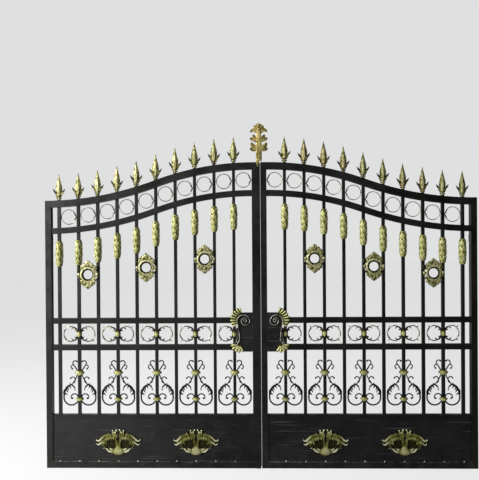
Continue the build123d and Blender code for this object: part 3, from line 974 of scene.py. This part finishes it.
@dataclass
class LockBand(Casting):
    """The scroll rings of the lock band, a pair on every second bar."""

    node = "band_scrolls"
    piece = "lock_band_rings"
    finish = RUBBED
    slot = "ring_gilt"
    gap = 0.008

    ring_width: float = 98.0
    ring_height: float = 106.0
    bar: float = 6.6
    post: float = 20.0

    def master(self) -> Piece:
        """Models a pair of rings about the bar that carries them.

        Returns:
            The master.
        """
        bench = Bench()
        middle = self.post / 2 + self.ring_width / 2
        a, b = self.ring_width / 2, self.ring_height / 2
        bench.hoop((middle, 0, 0), self.ring_width, self.ring_height, self.bar)
        for up in (1, -1):
            bench.leaf((self.post / 2 + 2, b * 0.25 * up), (middle - a * 0.3, b * 0.93 * up),
                       13, 6, 6.5 * up, steps=7)
            bench.leaf((middle + a * 0.92, b * 0.2 * up), (middle + a * 0.5, b * 0.68 * up),
                       8, 6, -2.0 * up, outline=Outline.HORN)
            for base, tip, width, depth, bend in (
                    ((-0.45, 0.8), (-0.1, 0.5), 9, 6, 3.0),
                    ((-0.86, 0.42), (-0.5, 0.36), 10, 6, 2.0),
                    ((0.6, 0.78), (0.86, 0.94), 7, 5, 0.0)):
                bench.leaf((middle + a * base[0], b * base[1] * up),
                           (middle + a * tip[0], b * tip[1] * up), width, depth, bend * up)
        bench.pair()
        return bench.done(self.relief_and_shade)

    def relief_and_shade(self, p: Vector) -> float:
        """Gives how far a point stands out, less by the far side of a ring.

        Args:
            p: The point on the master, in millimetres.

        Returns:
            The height, where 0 and less is a recess and 1 a high place.
        """
        near = 1 - min(1.0, abs(abs(p.x) - self.post) / 60)
        wave = math.sin(p.z * 0.12 + p.x * 0.05)
        return 0.45 - 0.4 * near + 0.3 * (-p.y / self.bar) + 0.25 * wave

    def places(self, side: Side) -> list[Vector]:
        """Finds the bars that carry a pair, half-way between its rings."""
        rings = super().places(side)
        return [(a + b) / 2 for a, b in zip(rings[::2], rings[1::2])]


@dataclass
class ScrollCastings:
    """The black scroll castings and the gold collars that clasp them."""

    reach: float = 107.0
    bar: float = 8.0
    depth: float = 8.0
    lower_collar: float = 46.0
    upper_collar: float = 222.0
    band_collar: float = 481.0
    collar_width: float = 64.0
    collar_depth: float = 36.0
    foot_drop: float = 0.5

    def scroll(self) -> Piece:
        """Models the scrolls of one bar, measured from their foot.

        Returns:
            The master.
        """
        bench = Bench()
        edge, low, high = self.reach, self.lower_collar, self.upper_collar
        lobe = trail((12, low - 12), ((edge * 0.58, 5), (edge, 62), 12),
                     ((edge * 0.88, 108), (54, 142), 7))
        for path, share in (
                (lobe, 1.3), (through((54, 142), (33, 170), (12, high), 6), 1),
                (through((12, low + 6), (36, 80), (60, 58), 8), 1.1),
                (through((60, 58), (58, 50), (51, 49), 2), 1.1),
                (through((12, high + 8), (26, 252), (38, 272), 4), 1.1),
                (through((38, 272), (38, 300), (19, 299), 8), 1),
                (through((36, 268), (56, 268), (50, 249), 6), 0.9),
                (through((36, 166), (42, 192), (61, 186), 7), 0.95)):
            bench.rod(path, self.bar * share, self.depth)
        for x, z, size in ((51, 50, 14), (19, 297, 12), (50, 248, 12), (61, 184, 12)):
            bench.ball((x, 0, z), size, 9.5, size)
        bench.leaf((48, 146), (edge - 8, 104), 17, 9, 9, 1, outline=Outline.RIB)
        bench.leaf((edge - 6, 112), (edge - 2, 56), 17, 9, 2, 1)
        for base, tip, width, bend in (
                ((60, 142), (31, 106), 11, -7), ((74, 134), (60, 112), 9, -3),
                ((86, 124), (76, 100), 9, -2), ((96, 112), (80, 84), 10, -3),
                ((edge - 3, 84), (edge - 24, 70), 10, -2), ((56, 140), (70, 152), 7, 1),
                ((30, 168), (47, 148), 9, -2)):
            bench.leaf(base, tip, width, self.depth, bend)
        bench.ball((33, 0, 107), 10, 8, 9)
        bench.pair()
        return bench.done(self.relief_and_shade)

    def relief_and_shade(self, p: Vector) -> float:
        """Gives how far a point of a scroll stands out."""
        return 0.25 + 0.5 * (-p.y / self.depth)

    def collar(self, width: float, height: float) -> Piece:
        """Models one collar about its middle: a swelling band between two lips, with painted
        shade on its top and ends.

        Args:
            width: Its size across.
            height: Its size upwards.

        Returns:
            The master.
        """
        bench = Bench()
        half = height / 2
        shape = ((0.46, -1.0), (0.56, -0.94), (0.62, -0.8), (0.8, -0.55), (0.96, -0.25),
                 (1.0, 0.0), (0.96, 0.25), (0.8, 0.55), (0.62, 0.8), (0.56, 0.94), (0.46, 1.0))
        bench.sweep([(0, 0, half * z) for _, z in shape], [width * r for r, _ in shape],
                    [self.collar_depth * (0.55 + 0.45 * r) for r, _ in shape], 24)
        # Painted shade and light: the upper half is darkened, the lower half lightened and both
        # ends darkened, besides the front standing out brighter.
        return bench.done(
            lambda p: 0.56 + 0.3 * (-p.y / self.collar_depth)
            - 0.5 * max(-0.3, p.z / half - 0.1) - max(0.0, abs(p.x) / width - 0.3) * 1.6)

    def build(self, side: Side) -> list[Piece]:
        """Fixes the scrolls and collars to every second bar of a leaf.

        Args:
            side: The leaf.

        Returns:
            The finished pieces.
        """
        node = side.node("scroll_castings")
        clasps = side.node("scroll_collars")
        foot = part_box(node)[0].z - self.foot_drop * MM
        bars = [Vector(((low.x + high.x) / 2, (low.y + high.y) / 2, foot))
                for low, high in columns(clasps)]
        pieces = [set_out(self.scroll(), bars, side.node("scrolls"), side.body,
                          CAST, (node,))]
        for name, width, height, rise, replaced in (
                ("lower", self.collar_width * 0.86, 25.0, self.lower_collar, (clasps,)),
                ("upper", self.collar_width, 31.0, self.upper_collar, ()),
                ("band", 36.0, 36.0, self.band_collar, ())):
            places = [b + Vector((0, 0, rise * MM)) for b in bars]
            pieces.append(set_out(self.collar(width, height), places,
                                  side.node(f"{name}_collars"), side.body,
                                  LEAFED, replaced))
        return pieces


@dataclass
class Rosettes(Casting):
    """The wreath rosettes between the bars."""

    node = "rosettes"
    piece = "wreaths"
    finish = CARVED

    ring_radius: float = 50.0
    opening: float = 33.0
    height: float = 196.0

    def master(self) -> Piece:
        """Models one rosette about its middle.

        Returns:
            The master.
        """
        bench = Bench()
        outer, inner = self.ring_radius + 3, self.opening + 3
        for radius, front, bar, depth in ((outer, 7, outer - self.opening - 1, 0.62),
                                          (inner, 3, 6, 1.0)):
            bench.hoop((0, -front, 0), 2 * radius, 2 * radius, bar)
            bpy.ops.transform.resize(value=(1, depth, 1), center_override=(0, -front, 0))
        top = self.height / 2
        for up in (1, -1):
            bench.leaf((0, 38 * up), (0, top * up), 36, 9, 0, 5, 4, Outline.LOBE)
            for side in (1, -1):
                turn = side * up
                for base, tip, width, bend in (
                        ((12, 40), (33, 77), 31, 3), ((27, 34), (50, 61), 28, 4),
                        ((40, 18), (56, 40), 22, 4), ((6, 60), (17, 88), 16, 1)):
                    bench.leaf((side * base[0], up * base[1]), (side * tip[0], up * tip[1]),
                               width, 9, bend * turn, 5, 4, Outline.LOBE)
        for side in (1, -1):
            bench.sweep([(side * x, -3, 0) for x in (50, 54, 60, 66, 69)],
                        [14, 24, 25, 22, 15], [12, 17, 17, 14, 10], 8)
            bench.ball((side * 61, -9, 2), 18, 9, 21)
            bench.ball((side * 61, -7, -19), 13, 8, 12)
            bench.sweep([(side * 61, -3, z) for z in (22, 25, 36, 50, 54)],
                        [18, 25, 26, 25, 18], [12, 17, 17, 17, 12], 8)
        return bench.done(self.relief_and_shade)

    def relief_and_shade(self, p: Vector) -> float:
        """Gives how far a point stands out: the ring is high, the cups between leaves low, and
        the ring's inner wall round the opening is painted shade.

        Args:
            p: The point on the master, in millimetres.

        Returns:
            The height, where 0 and less is a recess and 1 a high place.
        """
        x, z = abs(p.x), abs(p.z)
        if x > 52 and z > 21:
            return 0.05
        reach = math.hypot(p.x, p.z)
        # Painted shade: the inner wall of the ring, round the opening, is dark all the way
        # round.
        if reach < self.opening + 7.5:
            return 0.0
        if reach < self.ring_radius + 3:
            return (-p.y) / 10
        cups = ((0, 82), (13, 67), (30, 62), (40, 47), (22, 54), (8, 56), (46, 34))
        pit = max(1 - math.hypot(x - u, z - v) / 7 for u, v in cups)
        return 0.1 + (-p.y) / 13 - 0.9 * max(0.0, pit)

    def spot(self, low: Vector, high: Vector) -> Vector:
        """Gives the middle of the back."""
        return Vector(((low.x + high.x) / 2, high.y, (low.z + high.z) / 2))


@dataclass
class KickOrnaments(Casting):
    """The acanthus ornaments on the kick panels."""

    node = "kick_ornaments"
    piece = "acanthus"
    finish = TIPPED

    reach: float = 150.0
    rise: float = 172.0

    def master(self) -> Piece:
        """Models one ornament about its foot.

        Returns:
            The master.
        """
        bench = Bench()
        loop = trail((14, 60), ((14, 98), (42, 124), 6), ((86, 116), (100, 82), 8),
                     ((99, 70), (93, 58), 3))
        bench.member([(x, -5, z) for x, _, z in loop], 22, 12, Outline.ROD, groove=0.4)
        for base, tip, width, bend in (
                ((34, 128), (33, 98), 17, -3), ((50, 130), (49, 93), 18, 0),
                ((66, 126), (65, 90), 18, 2), ((81, 118), (78, 84), 17, 3),
                ((95, 102), (89, 68), 15, 4)):
            bench.leaf(base, tip, width, 9, bend, 7, 4)
        for points in (
                trail((58, 134), ((96, 126), (118, 102), 7), ((131, 94), (146, 109), 6)),
                trail((70, 130), ((104, 116), (128, 98), 7), ((138, 96), (self.reach, 104), 4)),
                trail((90, 104), ((108, 86), (122, 76), 6), ((134, 70), (144, 80), 5)),
                trail((20, 30), ((52, 24), (72, 36), 6), ((82, 44), (86, 38), 4))):
            path = [(x, -6 - 3 * math.sin(i / 4), z) for i, (x, _, z) in enumerate(points)]
            bench.member(path, 16, 11, Outline.HORN, groove=0.2)
        for base, tip, width, depth, bend, front in (
                ((94, 92), (112, 62), 14, 8, -3, 4), ((88, 62), (104, 44), 13, 8, -3, 4),
                ((26, 40), (60, 48), 14, 9, -5, 8), ((84, 98), (71, 66), 11, 8, 2, 8)):
            bench.leaf(base, tip, width, depth, bend, front, 3)
        # A thin dark disc behind each eye fills it with painted shade, partly also dirt.
        bench.ball((50, -2.5, 74), 66, 4, 62)
        for base, tip, width, bend in (
                ((24, 112), (11, self.rise - 2), 15, -3), ((36, 120), (36, 166), 15, 2),
                ((50, 124), (62, 146), 15, 2), ((28, 108), (23, 156), 13, 3),
                ((62, 124), (82, 134), 13, 3), ((16, 104), (3, 150), 13, -2)):
            bench.leaf(base, tip, width, 9, bend, 6, 4)
        for x, z in ((11, self.rise - 4), (36, 163), (62, 143), (24, 152)):
            bench.ball((x, -9, z), 10, 7, 10)
        stem = through((14, 24), (9, 66), (24, 128), 9)
        bench.member([(x, -8, z) for x, _, z in stem], 12, 11, Outline.ROD, groove=0.3)
        bench.leaf((12, 70), (10, 112), 8, 8, 2, 4, 2)
        bench.pair()
        bench.sweep([(0, -6, z) for z in (1, 5, 13, 26, 40, 53, 64, 74)],
                    [34, 58, 78, 80, 60, 38, 24, 12], [8, 14, 18, 18, 17, 14, 10, 6], 20)
        return bench.done(self.relief_and_shade)

    def relief_and_shade(self, p: Vector) -> float:
        """Gives how far a point stands out; the far tips are the brightest.

        Args:
            p: The point on the master, in millimetres.

        Returns:
            The height, where 0 and less is a recess and 1 a high place.
        """
        tip = max(0.0, (abs(p.x) - 96) / 45, (p.z - 142) / 28)
        if p.z < 46:
            tip = max(tip, (abs(p.x) - 34) / 26)
        boss = max(0.0, 1 - math.hypot(p.x / 34, (p.z - 24) / 34)) * 0.25
        lit = min(0.44, -0.36 + (-p.y) / 16) + boss
        return lit + 0.6 * max(0.0, min(1.0, tip))

    def spot(self, low: Vector, high: Vector) -> Vector:
        """Gives the middle of the back's foot."""
        return Vector(((low.x + high.x) / 2, high.y, low.z))


@dataclass
class LockCasting:
    """The scroll and the shells on the lock plate."""

    inset: float = 52.0
    drop: float = 49.0
    bar: float = 6.0
    shell_inner: float = 34.0
    shell_root: float = 54.0
    shell_reach: float = 101.0
    shell_ribs: int = 8
    fan: tuple[int, int] = (112, 208)
    foot_place: Flat = (-36.0, -162.0)
    foot_fan: tuple[int, int] = (186, 294)
    foot_root: float = 11.0
    foot_reach: float = 58.0
    foot_ribs: int = 5

    def scroll(self) -> Piece:
        """Models the spiral and its stem about the spiral's middle.

        Returns:
            The master.
        """
        bench = Bench()
        path = trail((-75, -172), ((-44, -152), (-34, -112), 9), ((-40, -66), (-45, -32), 6),
                     ((-13, 33), (33, 1), 12), ((5, -34), (-22, -6), 9),
                     ((-3, 14), (14, -3), 6), ((4, -14), (-5, -2), 4))
        bench.rod(path, self.bar, 9, 5)
        bench.ball((-5, -6, -1), 11, 8, 11)
        bench.rod(through((-64, -158), (-52, -130), (-42, -78), 8), self.bar * 0.7, 7, 4)
        bench.rod(through((-50, -52), (-47, -104), (-60, -158), 8), 17, 3)
        return bench.done(lambda p: (-p.y) / 12.5)

    def shells(self) -> Piece:
        """Models the upper shell and the foot shell about the spiral's middle.

        Returns:
            The master.
        """
        bench = Bench()
        first, last = self.fan
        outer = self.shell_reach - 10
        middle = (self.shell_inner + outer) / 2
        back = [(middle * math.cos(math.radians(a)), -1.5, middle * math.sin(math.radians(a)))
                for a in range(first, last + 5, 10)]
        bench.member(back, outer - self.shell_inner, 3, Outline.ROD)
        for i in range(self.shell_ribs):
            lean = math.radians(first + i * (last - first) / (self.shell_ribs - 1))
            c, s = math.cos(lean), math.sin(lean)
            root, reach = self.shell_root, self.shell_reach - 3 * abs(i - 4)
            bench.leaf((root * c, root * s), (reach * c, reach * s), 16.5, 12, 2, 2.5, 2,
                       Outline.RIB, groove=0.0)
        bench.leaf((-24, 50), (-34, 72), 7, 6, 3, 2, 2)
        bench.sweep([(-44, -1.5, z) for z in (-158, -168, -182, -196, -208)],
                    [40, 56, 62, 52, 28], [3] * 5, 12)
        first, last = self.foot_fan
        x, z = self.foot_place
        for i in range(self.foot_ribs):
            lean = math.radians(first + i * (last - first) / (self.foot_ribs - 1))
            base, tip = ((x + r * math.cos(lean), z + r * math.sin(lean))
                         for r in (self.foot_root, self.foot_reach))
            bench.leaf(base, tip, 21, 12, 2, 2.5, 2, Outline.RIB, groove=0.0)
        return bench.done(lambda p: (-p.y - 4) / 4)

    def build(self, side: Side) -> list[Piece]:
        """Fixes the casting on a leaf's lock plate.

        Args:
            side: The leaf.

        Returns:
            The finished pieces.
        """
        low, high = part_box(side.node("lock_plate"))
        x = high.x - self.inset * MM if side is Side.LEFT else low.x + self.inset * MM
        place = Vector((x, low.y, high.z - self.drop * MM))
        return [set_out(master, [place], side.node(name), side.body, finish,
                        nodes, side is Side.RIGHT)
                for master, name, finish, nodes in (
                    (self.scroll(), "lock_scroll", SCROLL, (side.node("lock_ornaments"),)),
                    (self.shells(), "lock_shells", LEAFED, ()))]


@dataclass
class Crest:
    """The plume over the meeting line."""

    height: float = 257.5
    stem: float = 39.0
    tail: float = 33.0
    depth: float = 8.0
    tail_right: float = 2.5

    def master(self) -> Piece:
        """Models the plume about the top of the stiles, at their middle line.

        Returns:
            The master.
        """
        bench = Bench()
        front, half, top = self.depth / 2, self.stem / 2, self.height
        for points, width in (
                (through((2, 82), (30, 84), (61, 88), 7), 30),
                (through((2, 88), (26, 95), (46, 108), 6), 38),
                (through((2, 86), (36, 104), (52, 130), 7), 27),
                (through((2, 134), (30, 145), (60, 158), 7), 24),
                (through((2, 138), (22, 150), (42, 166), 6), 32),
                (through((2, 138), (27, 160), (39, 183), 7), 22),
                (through((2, 178), (31, 212), (56, 194), 9), 24),
                (through((4, 188), (20, 204), (37, 219), 5), 24),
                (through((2, 206), (18, 224), (31, 241), 6), 26),
                (through((2, 214), (9, 236), (15, top - 5), 6), 21)):
            bench.member([(x, y - front, z) for x, y, z in points], width, 7, Outline.LOBE,
                         groove=0.35)
        bench.pair()
        stem = ((6.5, 0.94, 6), (8, 1, 7.5), (40, 1, 7.5), (72, 1, 7.5), (110, 0.96, 7.5),
                (150, 0.84, 7.5), (190, 0.74, 7.5), (224, 0.62, 7), (246, 0.42, 6),
                (top, 0.06, 4))
        bench.sweep([(0, -front, z) for z, _, _ in stem], [self.stem * w for _, w, _ in stem],
                    [depth for _, _, depth in stem], 12, 0.2)
        for x in (-9, 0, 9):
            rib = ((1, 10, 7, 4), (1, 70, 7.5, 4.4), (0.8, 150, 7, 4.4), (0.5, 225, 3, 3))
            bench.sweep([(x * share, -front - 1.4, z) for share, z, _, _ in rib],
                        [width for _, _, width, _ in rib], [depth for *_, depth in rib], 6)
        middle, wide = (self.tail_right - half) / 2, self.tail_right + half
        bench.sweep([(middle, -front, z) for z in (6.4, 0, -14, -self.tail)],
                    [wide, wide, wide * 0.72, wide * 0.05], [7, 7, 6.5, 3], 8, 0.2)
        return bench.done(self.relief_and_shade)

    def relief_and_shade(self, p: Vector) -> float:
        """Gives how far a point stands out; the middle is richer than the tips."""
        return 0.2 + 0.6 * (-p.y / self.depth) - 0.25 * min(1.0, abs(p.x) / 60)

    def build(self) -> list[Piece]:
        """Fixes the plume on the cover strip.

        Returns:
            The finished piece, in a list.
        """
        low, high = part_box("crest")
        foot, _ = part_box("crest_foot")
        place = Vector(((low.x + high.x) / 2, high.y, foot.z + self.tail * MM))
        return [set_out(self.master(), [place], "plume", Side.LEFT.body, BRASS,
                        ("crest", "crest_foot"))]


@dataclass
class Welds:
    """The weld beads where bars meet rails, and the tacks along the kick panel."""

    bar: float = 20.0
    bead: float = 2.0
    lock_rail: float = 36.0
    tack_rise: float = 3.0
    seam_rise: float = 1.0
    seam_spans: int = 24

    def bead_master(self) -> Piece:
        """Models the bead round one bar, a square ring with rounded corners.

        Returns:
            The master.
        """
        bench = Bench()
        bpy.ops.mesh.primitive_torus_add(
            rotation=(0, 0, math.pi / 4), major_segments=4, minor_segments=6,
            major_radius=self.bar / 2 * math.sqrt(2), minor_radius=self.bead)
        bpy.ops.mesh.subdivide(number_cuts=1)
        return bench.done(lambda p: 0.4)

    def tack_master(self) -> Piece:
        """Models one tack on the panel's lower edge.

        Returns:
            The master.
        """
        bench = Bench()
        bench.ball((0, 0, 0), 9, 5, 11)
        bench.ball((2, -0.5, 3), 6, 5, 6)
        return bench.done(lambda p: 0.5 - p.y / 5)

    def seam_master(self, length: float) -> Piece:
        """Models the bead of filler along the panel's foot, with painted light that makes it
        paler at its left end.

        Args:
            length: How long it is.

        Returns:
            The master.
        """
        bench = Bench()
        spans = range(self.seam_spans + 1)
        bench.sweep([(length * (i / self.seam_spans - 0.5), 0, 0) for i in spans],
                    [1.9 + 0.7 * math.sin(i * 2.3) for i in spans], [3.0 for _ in spans], 6)
        # Painted light: the seam is paler at its left end and darker towards its right.
        return bench.done(lambda p: 0.34 - 0.4 * (p.x / length))

    def build(self, side: Side) -> list[Piece]:
        """Welds the bars of a leaf to its straight rails and tacks its panel.

        Args:
            side: The leaf.

        Returns:
            The finished pieces.
        """
        bars = [(low + high) / 2 for low, high in columns(side.node("bars"), 0.05)]
        low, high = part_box(side.node("lock_rails"))
        rail = self.lock_rail * MM
        edges = (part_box(side.node("kick_rail"))[1].z, low.z, low.z + rail,
                 high.z - rail, high.z)
        beads = [Vector((b.x, bars[0].y, z)) for b in bars for z in edges]
        low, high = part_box(side.node("kick_panel"))
        tacks = [Vector((b.x, low.y, low.z + self.tack_rise * MM)) for b in bars]
        seam = Vector(((low.x + high.x) / 2, low.y, low.z + self.seam_rise * MM))
        return [set_out(master, places, side.node(name), side.body, finish)
                for master, places, name, finish in (
                    (self.bead_master(), beads, "weld_beads", PAINT),
                    (self.tack_master(), tacks, "panel_tacks", SCROLL),
                    (self.seam_master((high.x - low.x) / MM), [seam], "panel_seam", SCROLL))]


@dataclass
class StopFlat:
    """The flat on the left meeting stile that all but closes the gap between the leaves."""

    clearance: float = 1.8
    thickness: float = 4.0
    bite: float = 0.5
    edge: float = 0.8

    def build(self) -> list[Piece]:
        """Runs the flat up the gap, level with the stiles' backs.

        Returns:
            The finished piece, in a list.
        """
        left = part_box("left_meeting_stile")
        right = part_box("right_meeting_stile")
        start = left[1].x / MM - self.bite
        end = right[0].x / MM - self.clearance
        rise = (left[1].z - left[0].z) / MM
        bench = Bench()
        bench.slab((end - start, self.thickness, rise), self.edge)
        place = Vector(((start + end) / 2 * MM, left[1].y - self.thickness / 2 * MM,
                        (left[0].z + left[1].z) / 2))
        return [set_out(bench.done(lambda p: 0.5), [place], "stop_flat", Side.LEFT.body,
                        PAINT)]


@dataclass
class PlateBolts:
    """The bolt heads on the hinge plates."""

    across: float = 17.0
    head: float = 6.5
    washer: float = 1.6
    plate: float = 6.0
    spacing_y: float = 44.0
    spacing_z: float = 84.0
    heights: Span = (0.0, 1250.0)

    def master(self) -> Piece:
        """Models one hexagon head on its washer, facing +X.

        Returns:
            The master.
        """
        bench = Bench()
        radius, foot, top = self.across / math.sqrt(3), self.washer, self.washer + self.head
        bench.turned(((10, 0), (10.2, foot / 2), (10, foot), (6, foot)), 20)
        bench.turned(((radius, foot), (radius, top - 1), (radius * 0.9, top), (1, top)), 6)
        bpy.ops.mesh.select_all(action="SELECT")
        bpy.ops.transform.rotate(value=-math.pi / 2, orient_axis="Y", center_override=(0, 0, 0))
        return bench.done(lambda p: 0.5, angle=30)

    def build(self, side: Side) -> list[Piece]:
        """Bolts both plates of one side.

        Args:
            side: The side of the gate.

        Returns:
            The finished piece, in a list.
        """
        low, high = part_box(side.node("hinge_brackets"))
        plate = self.plate * MM
        face = low.x + plate if side is Side.LEFT else high.x - plate
        places = [
            Vector((face, dy * self.spacing_y / 2 * MM, (z + dz * self.spacing_z / 2) * MM))
            for z in self.heights for dy in (-1, 1) for dz in (-1, 1)
        ]
        return [set_out(self.master(), places, side.node("plate_bolts"), "hinge_plates",
                        BOLT, mirrored=side is Side.RIGHT)]


class Tubework:
    """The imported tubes, panels and plates, and the plain castings under the finer ones."""

    finishes: ClassVar[dict[Finish, tuple[str, ...]]] = {
        PAINT: ("hinge_stile", "meeting_stile", "top_rail", "ring_rail", "lock_rails",
                "kick_rail", "bottom_rail", "bars", "hinge_eyes", "hinge_brackets"),
        PANEL: ("kick_panel", "lock_plate"),
        GILT: ("spearheads", "bar_collars", "rosettes", "scroll_collars", "kick_ornaments",
               "lock_ornaments"),
        RUBBED: ("top_rings", "band_scrolls"),
        CAST: ("scroll_castings",),
    }

    def build(self) -> None:
        """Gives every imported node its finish."""
        for side in Side:
            for finish, names in self.finishes.items():
                for name in names:
                    dress(side.node(name), finish)
        for node, finish in (("cover_strip", PAINT), ("crest", BRASS), ("crest_foot", BRASS)):
            dress(node, finish)


@dataclass(frozen=True)
class Lamp:
    """A soft square lamp: where it hangs, what it points at, its width and its watts."""

    name: str
    place: Point
    aim: Point
    size: float
    power: float

    def hang(self) -> None:
        """Hangs the lamp."""
        data = bpy.data.lights.new(self.name, "AREA")
        data.size = self.size
        data.energy = self.power
        lamp = bpy.data.objects.new(self.name, data)
        bpy.context.collection.objects.link(lamp)
        lamp.location = self.place
        way = Vector(self.aim) - Vector(self.place)
        lamp.rotation_euler = way.to_track_quat("-Z", "Y").to_euler()


@dataclass
class Portrait:
    """The floor, the backdrop, the lamps and the camera at the photograph's place."""

    width_px: int = 479
    focal_px: float = 547.3
    sensor: float = 36.0
    place: Point = (1.38, -3.704, 1.2795)
    pitch_down: float = 0.0043
    yaw_left: float = 0.0214
    roll: float = -0.0068
    floor_size: float = 60.0
    floor_grey: Colour = (0.2, 0.2, 0.2)
    floor_glow: Colour = (0.668, 0.673, 0.673)
    floor_fade: Span = (-1.35, -0.3)
    room: Colour = (0.74, 0.745, 0.745)
    room_fade: Span = (-0.4, -0.05)
    room_light: float = 0.2
    dimmest: float = 0.08
    lamps: tuple[Lamp, ...] = (
        Lamp("key lamp", (-3.0, -2.4, 2.3), (1.3, 0, 0.8), 2.0, 410),
        Lamp("fill lamp", (2.0, -5.0, 4.4), (1.2, 0, 0.9), 3.0, 22),
        Lamp("top lamp", (0.6, -0.6, 5.0), (1.0, 0, 0.5), 3.0, 50))

    def stage_material(self) -> bpy.types.Material:
        """Builds the pale floor, plain to the camera and grey to the lamps.

        Returns:
            The material.
        """
        made = bpy.data.materials.new("pale floor")
        made.use_nodes = True
        g = Graph(made.node_tree)
        _, strength = self.seen(g, "Object", self.floor_fade)
        skin = g.add("BsdfPrincipled", in_Roughness=0.9, in_Base_Color=(*self.floor_grey, 1))
        glow = g.add("Emission", in_Color=(*self.floor_glow, 1), in_Strength=strength)
        both = g.add("AddShader", in_0=skin.outputs[0], in_1=glow.outputs[0])
        g.add("OutputMaterial", in_Surface=both.outputs[0])
        return made

    def seen(self, g: Graph, space: str, fade: Span) -> tuple[Socket, Socket]:
        """Finds the rays that see the pale room, and how pale it is to each.

        Args:
            g: The tree of the floor or the world.
            space: The coordinates whose first says how far to the right a place lies.
            fade: Where gloss starts to see the room dimmer, and where at its dimmest.

        Returns:
            1 for rays of the camera, of gloss and through glass, and the room's strength to
            them.
        """
        ray = g.add("LightPath").outputs
        plain = g.math("MAXIMUM", ray["Is Camera Ray"], ray["Is Transmission Ray"])
        gloss = ray["Is Glossy Ray"]
        place = g.add("SeparateXYZ", in_0=g.add("TexCoord").outputs[space])
        fading = g.spread(place.outputs[0], *fade, 1, self.dimmest)
        return (g.math("MAXIMUM", plain, gloss),
                g.math("MAXIMUM", plain, g.math("MULTIPLY", gloss, fading)))

    def build(self) -> None:
        """Sets the stage and makes the camera."""
        bpy.context.scene.view_settings.view_transform = "Standard"
        bpy.ops.object.select_all(action="DESELECT")
        bpy.ops.mesh.primitive_plane_add(size=self.floor_size, location=(1.4, 0, FLOOR))
        ground = bpy.context.object
        ground.name = "floor"
        ground.data.materials.append(self.stage_material())
        self.sky()
        for lamp in self.lamps:
            lamp.hang()
        self.camera()

    def sky(self) -> None:
        """Makes the pale world that only the camera and gloss see in full."""
        world = bpy.data.worlds.new("pale room")
        bpy.context.scene.world = world
        world.use_nodes = True
        g = Graph(world.node_tree)
        rays, strength = self.seen(g, "Generated", self.room_fade)
        room = g.add("Background", in_Color=(*self.room, 1), in_Strength=strength)
        light = g.add("Background", in_Color=(1, 1, 1, 1), in_Strength=self.room_light)
        blend = g.add("MixShader", in_0=rays, in_1=light.outputs[0], in_2=room.outputs[0])
        g.add("OutputWorld", in_Surface=blend.outputs[0])

    def camera(self) -> None:
        """Makes the camera."""
        data = bpy.data.cameras.new("portrait camera")
        data.sensor_fit = "HORIZONTAL"
        data.sensor_width = self.sensor
        data.lens = self.sensor * self.focal_px / self.width_px
        data.clip_end = 200
        camera = bpy.data.objects.new("portrait camera", data)
        bpy.context.collection.objects.link(camera)
        turn = (Matrix.Rotation(self.yaw_left, 4, "Z")
                @ Matrix.Rotation(math.pi / 2 - self.pitch_down, 4, "X")
                @ Matrix.Rotation(self.roll, 4, "Z"))
        camera.matrix_world = Matrix.Translation(self.place) @ turn
        bpy.context.scene.camera = camera


def main() -> None:
    """Builds every sub-assembly and reports each piece."""
    logging.basicConfig(level=logging.INFO, format="%(message)s")
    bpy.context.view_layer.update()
    Tubework().build()
    pieces = Crest().build() + StopFlat().build()
    for side in Side:
        for part in (Spearheads, BarrelCollars, TopRings, LockBand, ScrollCastings, Rosettes,
                     KickOrnaments, LockCasting, Welds, PlateBolts):
            pieces += part().build(side)
    total = 0
    for piece in pieces:
        faces = sum(len(p.vertices) - 2 for p in piece.data.polygons)
        total += faces
        log.info("%s: %d triangles", piece.name, faces)
    log.info("all pieces: %d triangles", total)
    Portrait().build()


if __name__ == "__main__":
    main()
